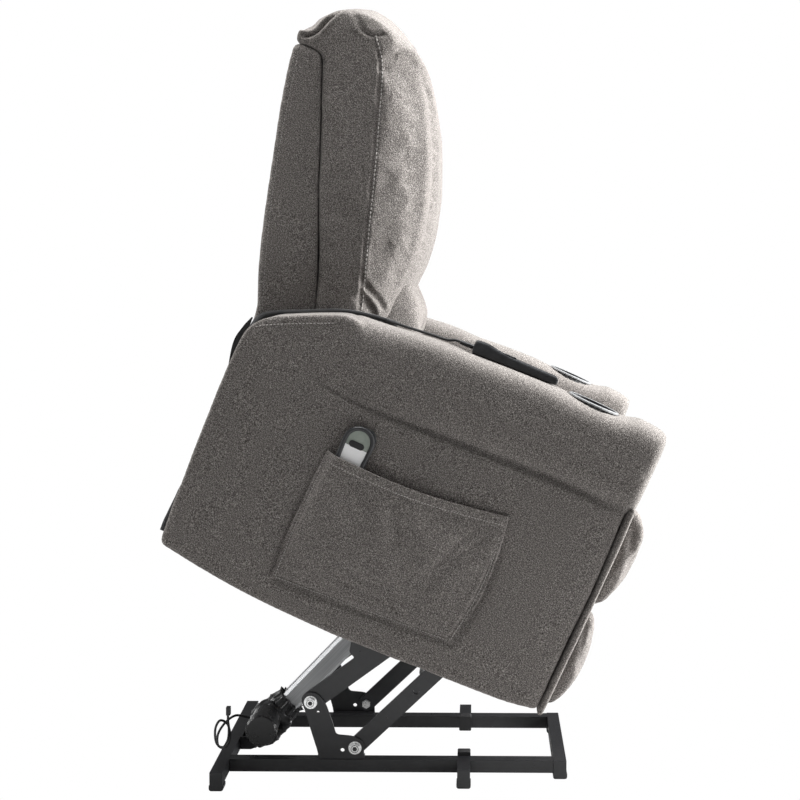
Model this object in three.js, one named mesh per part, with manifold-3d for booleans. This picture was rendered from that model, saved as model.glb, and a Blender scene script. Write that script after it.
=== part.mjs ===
// Lift recliner chair, raised and tipped forward. Millimetres, +Z up, chair front towards -Y,
// the occupant's right towards -X. "forward" counts along -Y, "u" runs forward along the chair's
// own bottom edge from its rear corner, and "v" runs up from that edge.
import * as THREE from "three";
import { mergeVertices } from "three/addons/utils/BufferGeometryUtils.js";
import Module from "manifold-3d";

const wasm = await Module();
wasm.setup();

// ---------------------------------------------------------------- driving dimensions
const GAP = 0.3; // between pieces that touch
const PIN_CLEAR = 0.5; // radial play of a pin in its hole
const RAD = Math.PI / 180;

const TILT = 24.2 * RAD; // forward tip of the raised chair
const CORNER_FORWARD = -588; // rear bottom corner of the raised chair
const CORNER_UP = 519;
const MIDDLE = [-7.6, -136.9]; // x and forward position of the middle of the whole, where x = y = 0

// Base frame
const TUBE = 25; // square tube of the base
const WALL = 2;
const TUBE_LOW = 11; // underside of the tubes above the floor
const TUBE_TOP = TUBE_LOW + TUBE;
const RAIL_OUT = 146.5; // outer face of a rail from the middle
const RAIL_IN = RAIL_OUT - TUBE;
const BASE_REAR = -536;
const BASE_FRONT = 158;
const REAR_HALF = 220; // half length of the rear cross tube
const SIDE_AT = -45; // middle of the side supports
const SIDE_REACH = 54; // side support past the rail
const STOP_TALL = 31;
const STOP_OVER = 7; // stop block above the rail
const STOP_DEEP = 22;
const STOP_LONG = 26;
const GLIDE_CAP = 3; // plug flange on a tube end

// Lift linkage: forward and up positions of the base pivots, link lengths and rest angles
const PIVOT_A = [-349, 150];
const PIVOT_B = [-261, 59];
const REAR_LINK = 370;
const FRONT_LINK = 350;
const REAR_ANGLE = 36 * RAD;
const FRONT_ANGLE = 43.3 * RAD;
const REAR_LINK_WIDE = 40;
const FRONT_LINK_WIDE = 34.5;
const PLATE = 5; // thickness of links and chassis plates
const BRACKET = 4;
const BRACKET_X = 144; // outer face of the bracket plates
const LINK_X = BRACKET_X - BRACKET - 0.5; // outer face of the links
const CHASSIS_X = LINK_X - PLATE - 0.5; // outer face of the chassis plates
const BOLT = 5; // radius of the pivot bolts
const HEAD = 10.5; // radius of a bolt head
const HEAD_THICK = 6.5;
const WASHER = 13;
const WASHER_THICK = 1.6;
const STUD = 6; // radius of the welded upper studs
const OPEN_PLAY = 6; // radial play of the open upper front pivot
const CROSS_REAR_AT = 230; // crossbars along their links
const CROSS_FRONT_AT = 190;
const CROSS_FRONT_OVER = 6;
const CROSS_RADIUS = 12.5;

// Actuator
const SWING = [-490, 24]; // base pivot of the actuator
const SWING_ANGLE = 46 * RAD;
const ROD_REACH = 640; // base pivot to rod end pivot at rest
const EYE = 12;
const EYE_HALF = 15;
const LUG_X = 18; // inner face of the base lugs
const LUG = 4;
const PIN = 5;
const GEAR_FROM = 8;
const GEAR_TO = 98;
const GEAR_HALF = 33;
const GEAR_WIDE = 66;
const MOTOR_RADIUS = 31.5;
const MOTOR_FROM = -112; // x of the cap that faces the right side
const MOTOR_TO = -GEAR_HALF - GAP;
const MOTOR_ALONG = 66; // motor axis along and over the actuator's axis
const MOTOR_OVER = 13;
const GUIDE_FROM = GEAR_TO + GAP;
const GUIDE_TO = 430;
const GUIDE_WIDE = 42;
const GUIDE_BORE = 12;
const ROD_FROM = 250;
const ROD_RADIUS = 10;
const ROD_END = 14;
const ROD_LUG_X = 11.5; // inner face of the rod end's lugs

// Upholstered body, in u and v
const ARM_OUT = 391;
const ARM_IN = 250;
const ARM_MID = (ARM_OUT + ARM_IN) / 2;
const BODY_HALF = ARM_IN - 0.6; // half width of what spans between the arms
const ARM_FRONT = 760;
const ARM_REAR = [-17, 391]; // top of the arm box's straight rear edge
const ARM_TOP = 512; // top of the arm box behind the pad
const PAD_FROM = 163; // rear end of the arm pad
const PAD_FRONT = 771;
const CREASE = 386; // top of the arm box under the pad
const PAD_BULGE = 6;
const DECK_THICK = 23;
const DECK_FROM = 215;
const DECK_TO = 745;
const ROD_DROP = 46; // rod end pivot below the middle of the chassis tube
const DECK_OVER_TUBE = 25; // deck above the middle of that tube
const CUP_AT = 614;
const CUP_RADIUS = 44;
const CUP_RIM = 50;
const CUP_DEEP = 72;
const CUP_WALL = 1.6;

// Backrest, in its own leaning frame: p forward of its rear face, q up along it
const BACK_LEAN = 15.8 * RAD;
const BACK_FROM = [-26, 432];
const BACK_HALF = 240;
const RECLINE_AT = [82, -50]; // recline axis in that frame
const FRAME_LOW = [121, -80]; // [p, q] at the ends of the straight front of the backrest frame
const FRAME_HIGH = [52, 500];

// Footrest
const FOOT_AT = 700;
const FOOT_DROP = 32; // footrest shaft below the underside of the deck
const ELBOW_FROM_PIVOT = [-10, -170]; // elbow of the footrest links from that shaft
const HINGE_FROM_PIVOT = [38, 6]; // hinge on the board from that shaft
const FOOT_HALF = 245;
const BOARD_FROM = 752;
const BOARD_THICK = 18;
const BOARD_TALL = 384;
const BOARD_OVER_DECK = 81;

// ---------------------------------------------------------------- materials
const steel = paint("black powder-coated steel", 0x17181a, 0.5, 0.4);
const zinc = paint("zinc-plated steel", 0xc9ccce, 0.3, 0.9);
const aluminium = paint("aluminium", 0xb9bcbe, 0.35, 0.9);
const plastic = paint("black plastic", 0x121314, 0.55, 0);
const rubber = paint("black rubber", 0x1a1a1b, 0.85, 0);
const cloth = paint("grey chenille", 0x6b6560, 0.95, 0);
const lining = paint("black lining", 0x1b1b1c, 0.95, 0);
const silver = paint("silver plastic", 0xb0b1b3, 0.35, 0.2);
const wood = paint("plywood", 0xb08d62, 0.8, 0);

function paint(name, color, roughness, metalness) {
  const m = new THREE.MeshStandardMaterial({ color, roughness, metalness });
  m.name = name;
  return m;
}

// ---------------------------------------------------------------- shapes
const part = new THREE.Group();
part.name = "lift_recliner_chair";
const base = new THREE.Group();
const chair = new THREE.Group();
part.add(base, chair);
chair.rotation.x = TILT;
chair.position.set(-MIDDLE[0], MIDDLE[1] - CORNER_FORWARD, CORNER_UP);
base.position.set(-MIDDLE[0], MIDDLE[1], 0);

function add(group, name, geometry, material) {
  const mesh = new THREE.Mesh(geometry, material);
  mesh.name = name;
  group.add(mesh);
  return mesh;
}

// The chair's u and v of a point given by its forward and up position.
function toChair([forward, up]) {
  const df = forward - CORNER_FORWARD;
  const dz = up - CORNER_UP;
  return [
    Math.cos(TILT) * df - Math.sin(TILT) * dz,
    Math.sin(TILT) * df + Math.cos(TILT) * dz,
  ];
}

// Points are [forward, up] pairs in both groups, so a forward value becomes -y.
const SIDEWAYS = new THREE.Matrix4().makeBasis(
  new THREE.Vector3(0, -1, 0),
  new THREE.Vector3(0, 0, 1),
  new THREE.Vector3(-1, 0, 0),
);

// A closed outline with each corner rounded by its own radius: [forward, up, radius].
function outline(given, radius = 0) {
  const path = new THREE.Shape();
  const turned = THREE.ShapeUtils.area(given.map(([x, y]) => ({ x, y }))) < 0;
  const points = turned ? [...given].reverse() : given;
  const n = points.length;
  points.forEach(([x, y, r = radius], i) => {
    const here = new THREE.Vector2(x, y);
    const before = new THREE.Vector2(...points[(i + n - 1) % n].slice(0, 2)).sub(here);
    const after = new THREE.Vector2(...points[(i + 1) % n].slice(0, 2)).sub(here);
    const cut = Math.min(r, before.length() / 2.1, after.length() / 2.1);
    const a = here.clone().addScaledVector(before.normalize(), cut);
    const b = here.clone().addScaledVector(after.normalize(), cut);
    if (i === 0) path.moveTo(a.x, a.y);
    else path.lineTo(a.x, a.y);
    if (cut > 0) path.quadraticCurveTo(x, y, b.x, b.y);
  });
  path.closePath();
  return path;
}

// A round hole whose flats lie outside its radius, so that a pin of that radius passes.
const HOLE_SIDES = 14;
function hole(path, [x, y], radius) {
  const corner = radius / Math.cos(Math.PI / HOLE_SIDES);
  const round = new THREE.Path();
  for (let k = 0; k < HOLE_SIDES; k++) {
    const a = (-2 * Math.PI * k) / HOLE_SIDES;
    const p = [x + corner * Math.cos(a), y + corner * Math.sin(a)];
    if (k === 0) round.moveTo(...p);
    else round.lineTo(...p);
  }
  round.closePath();
  path.holes.push(round);
  return path;
}

// A flat plate in the forward-up plane, from x = low to x = high.
function plate(path, low, high, steps = 4, bevel = 0) {
  const g = new THREE.ExtrudeGeometry(path, {
    depth: high - low - 2 * bevel,
    curveSegments: steps,
    bevelEnabled: bevel > 0,
    bevelThickness: bevel,
    bevelSize: bevel,
    bevelOffset: -bevel,
    bevelSegments: 2,
  });
  return g.applyMatrix4(SIDEWAYS).translate(high - bevel, 0, 0);
}

function box(xLow, xHigh, from, to, low, high) {
  const g = new THREE.BoxGeometry(xHigh - xLow, to - from, high - low);
  return g.translate((xLow + xHigh) / 2, -(from + to) / 2, (low + high) / 2);
}

// A cylinder along x at a forward-up point.
function across(radius, xLow, xHigh, [forward, up], sides = 20) {
  const g = new THREE.CylinderGeometry(radius, radius, xHigh - xLow, sides);
  return g.rotateZ(Math.PI / 2).translate((xLow + xHigh) / 2, -forward, up);
}

// A cylinder along the direction given by an angle in the forward-up plane.
function along(radius, from, to, [forward, up], angle, sides = 20, x = 0) {
  const g = new THREE.CylinderGeometry(radius, radius, to - from, sides);
  g.translate(0, (from + to) / 2, 0).rotateX(Math.PI - angle);
  return g.translate(x, -forward, up);
}

// A point reached from another by a length and an angle, with an offset to the upper side.
function reach([forward, up], length, angle, over = 0) {
  return [
    forward + length * Math.cos(angle) - over * Math.sin(angle),
    up + length * Math.sin(angle) + over * Math.cos(angle),
  ];
}

function solid(geometry) {
  const g = geometry.clone();
  g.deleteAttribute("normal");
  g.deleteAttribute("uv");
  const merged = mergeVertices(g, 1e-3);
  return new wasm.Manifold(
    new wasm.Mesh({
      numProp: 3,
      vertProperties: merged.attributes.position.array,
      triVerts: new Uint32Array(merged.index.array),
    }),
  );
}

function geometryOf(made) {
  const m = made.getMesh();
  const g = new THREE.BufferGeometry();
  g.setAttribute("position", new THREE.BufferAttribute(new Float32Array(m.vertProperties), 3));
  g.setIndex(new THREE.BufferAttribute(new Uint32Array(m.triVerts), 1));
  const flat = g.toNonIndexed();
  flat.computeVertexNormals();
  return flat;
}

const join = (...g) => geometryOf(g.map(solid).reduce((a, b) => a.add(b)));
const cut = (a, ...g) => geometryOf(g.map(solid).reduce((s, b) => s.subtract(b), solid(a)));

// A closed skin through rings of equal length, with a fan at each end.
function skin(rings) {
  const n = rings[0].length;
  const at = [];
  const faces = [];
  rings.forEach((ring) => ring.forEach((p) => at.push(...p)));
  const ends = [rings[0], rings[rings.length - 1]].map((ring) =>
    ring.reduce((s, p) => s.map((c, i) => c + p[i] / n), [0, 0, 0]),
  );
  ends.forEach((p) => at.push(...p));
  const last = rings.length * n;
  for (let k = 0; k < n; k++) {
    const next = (k + 1) % n;
    faces.push(last, next, k);
    const top = (rings.length - 1) * n;
    faces.push(last + 1, top + k, top + next);
    for (let i = 0; i + 1 < rings.length; i++) {
      const a = i * n + k;
      const b = i * n + next;
      faces.push(a, b, a + n, b, b + n, a + n);
    }
  }
  const g = new THREE.BufferGeometry();
  g.setAttribute("position", new THREE.Float32BufferAttribute(at, 3));
  g.setIndex(faces);
  const flat = g.toNonIndexed();
  if (volume(flat) < 0) {
    const p = flat.attributes.position;
    for (let i = 0; i < p.count; i += 3) {
      const v = [p.getX(i), p.getY(i), p.getZ(i)];
      p.setXYZ(i, p.getX(i + 1), p.getY(i + 1), p.getZ(i + 1));
      p.setXYZ(i + 1, ...v);
    }
  }
  flat.computeVertexNormals();
  return flat;
}

function volume(g) {
  const p = g.attributes.position;
  const [a, b, c] = [new THREE.Vector3(), new THREE.Vector3(), new THREE.Vector3()];
  let sum = 0;
  for (let i = 0; i < p.count; i += 3) {
    a.fromBufferAttribute(p, i);
    b.fromBufferAttribute(p, i + 1);
    c.fromBufferAttribute(p, i + 2);
    sum += a.dot(b.cross(c)) / 6;
  }
  return sum;
}

// A signed power, for rounded-square rings.
const bend = (value, power) => Math.sign(value) * Math.abs(value) ** power;
const smooth = (t) => t * t * (3 - 2 * t);
const clamp = (t) => Math.min(1, Math.max(0, t));

// Reads a height off a list of [position, height] pairs.
function profile(pairs, at) {
  if (at <= pairs[0][0]) return pairs[0][1];
  for (let i = 1; i < pairs.length; i++) {
    const [x1, y1] = pairs[i];
    const [x0, y0] = pairs[i - 1];
    if (at <= x1) return y0 + (y1 - y0) * smooth((at - x0) / (x1 - x0));
  }
  return pairs[pairs.length - 1][1];
}

const sides = [
  ["right", -1],
  ["left", 1],
];
// Builds a piece for the right side from x ranges given as distances from the middle.
const span = (side, near, far) => (side < 0 ? [-far, -near] : [near, far]);

// ---------------------------------------------------------------- base frame
function squareTube(xLow, xHigh, from, to, alongX) {
  const outer = box(xLow, xHigh, from, to, TUBE_LOW, TUBE_TOP);
  const inner = alongX
    ? box(xLow - 1, xHigh + 1, from + WALL, to - WALL, TUBE_LOW + WALL, TUBE_TOP - WALL)
    : box(xLow + WALL, xHigh - WALL, from - 1, to + 1, TUBE_LOW + WALL, TUBE_TOP - WALL);
  return cut(outer, inner);
}

// A plug for an open tube end: a spigot in the tube, a flange over its end and a foot below.
function glide(side, outer, middle) {
  const spigot = TUBE / 2 - WALL - PIN_CLEAR;
  const [a, b] = span(side, outer - 18, outer + GAP + GLIDE_CAP);
  const [c, d] = span(side, outer + GAP, outer + GAP + GLIDE_CAP);
  const [e, f] = span(side, outer - 24, outer + GAP + GLIDE_CAP);
  const mid = TUBE_LOW + TUBE / 2;
  return join(
    box(a, b, middle - spigot, middle + spigot, mid - spigot, mid + spigot),
    box(c, d, middle - TUBE / 2, middle + TUBE / 2, TUBE_LOW - 3, TUBE_TOP),
    plate(
      outline([
        [middle - 14, 0, 5],
        [middle + 14, 0, 5],
        [middle + 14, TUBE_LOW - GAP, 1],
        [middle - 14, TUBE_LOW - GAP, 1],
      ]),
      e,
      f,
      3,
    ),
  );
}

const rearMiddle = BASE_REAR + TUBE / 2;
const frontMiddle = BASE_FRONT - TUBE / 2;
const rearTube = squareTube(-REAR_HALF, REAR_HALF, BASE_REAR, BASE_REAR + TUBE, true);
add(base, "base_rear_tube", rearTube, steel);
const frontTube = squareTube(-RAIL_OUT, RAIL_OUT, BASE_FRONT - TUBE, BASE_FRONT, true);
add(base, "base_front_tube", frontTube, steel);

for (const [name, side] of sides) {
  const [low, high] = span(side, RAIL_IN, RAIL_OUT);
  const railRear = BASE_REAR + TUBE + GAP;
  const railFront = BASE_FRONT - TUBE - GAP;
  add(base, "base_rail_" + name, squareTube(low, high, railRear, railFront, false), steel);
  const [c, d] = span(side, RAIL_OUT + GAP, RAIL_OUT + SIDE_REACH);
  const outrigger = squareTube(c, d, SIDE_AT - TUBE / 2, SIDE_AT + TUBE / 2, true);
  add(base, "side_support_" + name, outrigger, steel);
  const [e, f] = span(side, RAIL_IN - GAP - STOP_DEEP, RAIL_IN - GAP);
  const stopTop = TUBE_TOP + STOP_OVER;
  const stop = plate(
    outline(
      [
        [SIDE_AT - STOP_LONG / 2, stopTop - STOP_TALL],
        [SIDE_AT + STOP_LONG / 2, stopTop - STOP_TALL],
        [SIDE_AT + STOP_LONG / 2, stopTop],
        [SIDE_AT - STOP_LONG / 2, stopTop],
      ],
      2.5,
    ),
    e,
    f,
    2,
  );
  add(base, "stop_block_" + name, stop, rubber);
  add(base, "glide_rear_" + name, glide(side, REAR_HALF, rearMiddle), plastic);
  add(base, "glide_front_" + name, glide(side, RAIL_OUT, frontMiddle), plastic);
  add(base, "glide_side_" + name, glide(side, RAIL_OUT + SIDE_REACH, SIDE_AT), plastic);
}

// Pivot brackets: a folded plate that stands on the rail, with a tall rear horn and a front lobe.
const A = PIVOT_A;
const B = PIVOT_B;
const bracketFoot = TUBE_TOP + GAP;
const bracketOutline = () =>
  outline([
    [A[0] + 16, bracketFoot],
    [A[0] + 13, A[1] - 97, 6],
    [A[0] - 1, A[1] - 52, 30],
    [A[0] - 10, A[1] - 20, 20],
    [A[0] - 20, A[1] + 6, 14],
    [A[0] - 8, A[1] + 20, 14],
    [A[0] + 14, A[1] + 18, 12],
    [A[0] + 30, A[1] - 2, 20],
    [A[0] + 46, A[1] - 48, 20],
    [A[0] + 50, A[1] - 65, 7],
    [B[0] - 3, B[1] + 23, 10],
    [B[0] + 17, B[1] + 13, 12],
    [B[0] + 18, bracketFoot, 1],
  ]);
const SMALL_HOLE = 4;
for (const [name, side] of sides) {
  const [low, high] = span(side, BRACKET_X - BRACKET, BRACKET_X);
  const shape = bracketOutline();
  hole(shape, A, BOLT + PIN_CLEAR);
  hole(shape, B, BOLT + PIN_CLEAR);
  hole(shape, [A[0] + 63, B[1] - 5], SMALL_HOLE);
  hole(shape, [A[0] + 15, A[1] - 20], SMALL_HOLE * 0.7);
  const [e, f] = span(side, RAIL_IN + 1, BRACKET_X);
  const flange = box(e, f, A[0] + 16, B[0] + 18, bracketFoot, bracketFoot + BRACKET);
  add(base, "pivot_bracket_" + name, join(plate(shape, low, high), flange), steel);
}

// A pivot bolt: head and washer outside the bracket, shank through the link, nut inside.
function bolt(side, at) {
  const face = BRACKET_X + GAP;
  const [h0, h1] = span(side, face + WASHER_THICK / 2, face + WASHER_THICK + HEAD_THICK);
  const [w0, w1] = span(side, face, face + WASHER_THICK);
  const inner = LINK_X - PLATE - GAP;
  const [s0, s1] = span(side, inner - 6, BRACKET_X + 1);
  const [n0, n1] = span(side, inner - 6, inner);
  return join(
    across(HEAD, h0, h1, at, 6),
    across(WASHER, w0, w1, at, 24),
    across(BOLT, s0, s1, at, 16),
    across(HEAD * 0.9, n0, n1, at, 6),
  );
}
for (const [name, side] of sides) {
  add(base, "pivot_bolt_rear_" + name, bolt(side, A), zinc);
  add(base, "pivot_bolt_front_" + name, bolt(side, B), zinc);
}

// Lugs for the actuator on the rear cross tube, with their pin.
const lugRear = BASE_REAR + TUBE + GAP;
const lugShape = () =>
  outline([
    [lugRear, TUBE_LOW + 1, 1],
    [SWING[0] + 4, TUBE_LOW + 1, 4],
    [SWING[0] + 12, SWING[1] - 4, 6],
    [SWING[0] + 8, SWING[1] + 11, 8],
    [SWING[0] - 6, TUBE_TOP + 2, 4],
    [lugRear, TUBE_TOP + 2, 1],
  ]);
add(
  base,
  "actuator_bracket",
  join(
    plate(lugShape(), -LUG_X - LUG, -LUG_X),
    plate(lugShape(), LUG_X, LUG_X + LUG),
    box(-LUG_X - LUG, LUG_X + LUG, lugRear, lugRear + LUG, TUBE_LOW + 1, TUBE_TOP + 2),
    across(PIN, -LUG_X - LUG - 3, LUG_X + LUG + 3, SWING, 16),
  ),
  steel,
);

// ---------------------------------------------------------------- lift links
const C = reach(A, REAR_LINK, REAR_ANGLE);
const D = reach(B, FRONT_LINK, FRONT_ANGLE);
const crossRear = reach(A, CROSS_REAR_AT, REAR_ANGLE);
const crossFront = reach(B, CROSS_FRONT_AT, FRONT_ANGLE, CROSS_FRONT_OVER);

// Outline of a straight link given by [along, over, corner radius] from its lower pivot.
function linkOutline(from, angle, points) {
  return outline(points.map(([s, o, r]) => [...reach(from, s, angle, o), r]));
}
const RW = REAR_LINK_WIDE / 2;
const FW = FRONT_LINK_WIDE / 2;
const rearLinkOutline = () =>
  linkOutline(A, REAR_ANGLE, [
    [-RW * 0.75, -RW, 16],
    [REAR_LINK + RW * 0.9, -RW, 16],
    [REAR_LINK + RW * 0.9, RW, 16],
    [205, RW + 2, 12],
    [180, 52, 10],
    [140, 54, 8],
    [121, 36, 3],
    [122, RW, 4],
    [-RW * 0.75, RW, 16],
  ]);
const frontLinkOutline = () =>
  linkOutline(B, FRONT_ANGLE, [
    [-FW * 0.85, -FW, 14],
    [230, -FW, 2],
    [234, -FW - 5, 2],
    [250, -FW - 5, 2],
    [256, -FW, 2],
    [FRONT_LINK + FW * 0.9, -FW, 14],
    [FRONT_LINK + FW * 0.9, FW, 14],
    [-FW * 0.85, FW, 14],
  ]);
for (const [name, side] of sides) {
  const [low, high] = span(side, LINK_X - PLATE, LINK_X);
  const rear = rearLinkOutline();
  hole(rear, A, BOLT + PIN_CLEAR);
  hole(rear, C, STUD + PIN_CLEAR);
  hole(rear, reach(A, 157, REAR_ANGLE, 36), SMALL_HOLE);
  add(base, "rear_link_" + name, plate(rear, low, high), steel);
  const front = frontLinkOutline();
  hole(front, B, BOLT + PIN_CLEAR);
  hole(front, reach(B, 165, FRONT_ANGLE, -2), SMALL_HOLE * 1.4);
  const [s0, s1] = span(side, CHASSIS_X - PLATE - 3, LINK_X - 1);
  const stud = across(STUD, s0, s1, D, 16);
  add(base, "front_link_" + name, join(plate(front, low, high), stud), steel);
}
const crossHalf = LINK_X - PLATE - GAP;
add(base, "rear_link_crossbar", across(CROSS_RADIUS, -crossHalf, crossHalf, crossRear, 20), steel);
const FLAT_BAR = [8, 30];
const FLAT_BAR_LEAN = 12 * RAD;
const [barThick, barTall] = FLAT_BAR.map((size) => size / 2);
const bar = box(-crossHalf, crossHalf, -barThick, barThick, -barTall, barTall);
bar.rotateX(-FLAT_BAR_LEAN).translate(0, -crossFront[0], crossFront[1]);
add(base, "front_link_crossbar", bar, zinc);

// ---------------------------------------------------------------- actuator
const beside = (s, over = 0) => reach(SWING, s, SWING_ANGLE, over);
const gearShape = linkOutline(SWING, SWING_ANGLE, [
  [GEAR_FROM + 4, -18, 8],
  [GEAR_FROM + 24, -GEAR_WIDE / 2, 10],
  [GEAR_TO, -GEAR_WIDE / 2 + 4, 6],
  [GEAR_TO, GEAR_WIDE / 2 - 6, 6],
  [GEAR_FROM + 40, GEAR_WIDE / 2 + 6, 12],
  [GEAR_FROM + 4, 18, 10],
]);
add(
  base,
  "actuator_gearbox",
  cut(
    join(
      plate(gearShape, -GEAR_HALF, GEAR_HALF, 4, 4),
      across(EYE, -EYE_HALF, EYE_HALF, SWING, 20),
      plate(
        linkOutline(SWING, SWING_ANGLE, [
          [0, -EYE + 1, 0],
          [GEAR_FROM + 20, -EYE + 1, 0],
          [GEAR_FROM + 20, EYE - 1, 0],
          [0, EYE - 1, 0],
        ]),
        -EYE_HALF,
        EYE_HALF,
      ),
    ),
    across(PIN + PIN_CLEAR, -GEAR_HALF - 1, GEAR_HALF + 1, SWING, 20),
    box(LUG_X - 1, GEAR_HALF + 1, SWING[0] - 30, SWING[0] + 16, 0, SWING[1] + 16),
    box(-GEAR_HALF - 1, -LUG_X + 1, SWING[0] - 30, SWING[0] + 16, 0, SWING[1] + 16),
  ),
  lining,
);
const motorAt = beside(MOTOR_ALONG, MOTOR_OVER);
const CAP_STEP = 2;
const motorProfile = [
  [0, 0],
  [MOTOR_RADIUS - 3, 0],
  [MOTOR_RADIUS, 3],
  [MOTOR_RADIUS, 26],
  [MOTOR_RADIUS - CAP_STEP, 28],
  [MOTOR_RADIUS - CAP_STEP, MOTOR_TO - MOTOR_FROM],
  [0, MOTOR_TO - MOTOR_FROM],
].map(([x, y]) => new THREE.Vector2(x, y));
const motor = new THREE.LatheGeometry(motorProfile, 28);
motor.rotateZ(-Math.PI / 2).translate(MOTOR_FROM, -motorAt[0], motorAt[1]);
add(base, "actuator_motor", motor, plastic);

const guideShape = new THREE.Shape();
const gh = GUIDE_WIDE / 2;
guideShape.moveTo(-gh + 6, -gh);
[
  [gh - 6, -gh],
  [gh, -gh + 6],
  [gh, gh - 6],
  [gh - 6, gh],
  [3, gh],
  [3, gh - 2],
  [-3, gh - 2],
  [-3, gh],
  [-gh + 6, gh],
  [-gh, gh - 6],
  [-gh, -gh + 6],
].forEach(([x, y]) => guideShape.lineTo(x, y));
guideShape.closePath();
hole(guideShape, [0, 0], GUIDE_BORE);
const guide = new THREE.ExtrudeGeometry(guideShape, {
  depth: GUIDE_TO - GUIDE_FROM,
  bevelEnabled: false,
  curveSegments: 10,
});
// The extrusion runs along the actuator: its own z becomes the actuator's direction.
guide.translate(0, 0, GUIDE_FROM).rotateX(Math.PI / 2 - SWING_ANGLE);
guide.translate(0, -SWING[0], SWING[1]);
add(base, "actuator_guide_tube", guide, aluminium);

const rodTip = beside(ROD_REACH);
add(
  base,
  "actuator_rod",
  join(
    along(ROD_RADIUS, ROD_FROM, ROD_REACH - 4, SWING, SWING_ANGLE, 20),
    across(ROD_END, GAP - ROD_LUG_X, ROD_LUG_X - GAP, rodTip, 20),
  ),
  zinc,
);

// ---------------------------------------------------------------- chassis that the links carry
const Cc = toChair(C);
const Dc = toChair(D);
const Rc = toChair(rodTip);
const [tu, tv] = [Rc[0], Rc[1] + ROD_DROP]; // middle of the chassis tube
const DECK_LOW = tv + DECK_OVER_TUBE;
const DECK_TOP = DECK_LOW + DECK_THICK;
const FOOT_PIVOT = [FOOT_AT, DECK_LOW - FOOT_DROP];
const FOOT_ELBOW = [FOOT_PIVOT[0] + ELBOW_FROM_PIVOT[0], FOOT_PIVOT[1] + ELBOW_FROM_PIVOT[1]];
const FOOT_HINGE = [FOOT_PIVOT[0] + HINGE_FROM_PIVOT[0], FOOT_PIVOT[1] + HINGE_FROM_PIVOT[1]];
const BOARD_TOP = DECK_TOP + BOARD_OVER_DECK;
const BOARD_LOW = BOARD_TOP - BOARD_TALL;
const tubeHalf = TUBE / 2;
const tubeBore = tubeHalf - WALL;
for (const [name, side] of sides) {
  const [low, high] = span(side, CHASSIS_X - PLATE, CHASSIS_X);
  const shape = outline([
    [Cc[0] - 6, Cc[1] - 20, 14],
    [Dc[0], Dc[1] - 20, 14],
    [Dc[0] + 20, Dc[1] + 4, 14],
    [Dc[0] + 40, DECK_LOW - 60, 10],
    [Dc[0] + 60, DECK_LOW - GAP, 2],
    [tu - 34, DECK_LOW - GAP, 2],
    [tu - 30, tv - 30, 8],
    [Cc[0] - 26, Cc[1] + 6, 14],
  ]);
  hole(shape, Dc, STUD + OPEN_PLAY);
  const slot = tubeHalf + GAP;
  const square = new THREE.Path();
  square.moveTo(tu - slot, tv - slot);
  square.lineTo(tu - slot, tv + slot);
  square.lineTo(tu + slot, tv + slot);
  square.lineTo(tu + slot, tv - slot);
  square.closePath();
  shape.holes.push(square);
  const [s0, s1] = span(side, CHASSIS_X - 1, LINK_X + 2);
  const made = join(plate(shape, low, high), across(STUD, s0, s1, Cc, 16));
  add(chair, "chassis_plate_" + name, made, steel);
}
const rodLug = () =>
  outline([
    [Rc[0] - 10, Rc[1] - 8, 8],
    [Rc[0] + 10, Rc[1] - 8, 8],
    [tu + 12, tv - TUBE / 2 + 1, 1],
    [tu - 12, tv - TUBE / 2 + 1, 1],
  ]);
add(
  chair,
  "chassis_cross_tube",
  join(
    cut(
      box(-BODY_HALF, BODY_HALF, tu - tubeHalf, tu + tubeHalf, tv - tubeHalf, tv + tubeHalf),
      box(-BODY_HALF - 1, BODY_HALF + 1, tu - tubeBore, tu + tubeBore, tv - tubeBore, tv + tubeBore),
    ),
    plate(rodLug(), -ROD_LUG_X - LUG, -ROD_LUG_X),
    plate(rodLug(), ROD_LUG_X, ROD_LUG_X + LUG),
  ),
  steel,
);

// Seat deck: a frame with slats, and lugs for the footrest shaft.
const SLATS = 5;
const RAIL_WIDE = 45;
const deckPieces = [
  box(-BODY_HALF, BODY_HALF, DECK_FROM, DECK_FROM + RAIL_WIDE, DECK_LOW, DECK_TOP),
  box(-BODY_HALF, BODY_HALF, DECK_TO - RAIL_WIDE, DECK_TO, DECK_LOW, DECK_TOP),
];
for (let i = 0; i < SLATS; i++) {
  const middle = -BODY_HALF + RAIL_WIDE / 2 + (i * (2 * BODY_HALF - RAIL_WIDE)) / (SLATS - 1);
  const tall = i === 0 || i === SLATS - 1 ? 0 : 6;
  const [c, d] = [middle - RAIL_WIDE / 2, middle + RAIL_WIDE / 2];
  deckPieces.push(box(c, d, DECK_FROM, DECK_TO, DECK_LOW + tall, DECK_TOP - tall / 3));
}
const SHAFT = 7;
const FOOT_LUG_X = 214;
const footLug = () =>
  hole(
    outline([
      [FOOT_PIVOT[0] - 14, FOOT_PIVOT[1] - 14, 10],
      [FOOT_PIVOT[0] + 14, FOOT_PIVOT[1] - 14, 10],
      [FOOT_PIVOT[0] + 18, DECK_LOW + 2, 1],
      [FOOT_PIVOT[0] - 18, DECK_LOW + 2, 1],
    ]),
    FOOT_PIVOT,
    SHAFT + PIN_CLEAR,
  );
for (const [, side] of sides) {
  deckPieces.push(plate(footLug(), ...span(side, FOOT_LUG_X, FOOT_LUG_X + PLATE)));
}
add(chair, "seat_deck", join(...deckPieces), wood);

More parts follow.
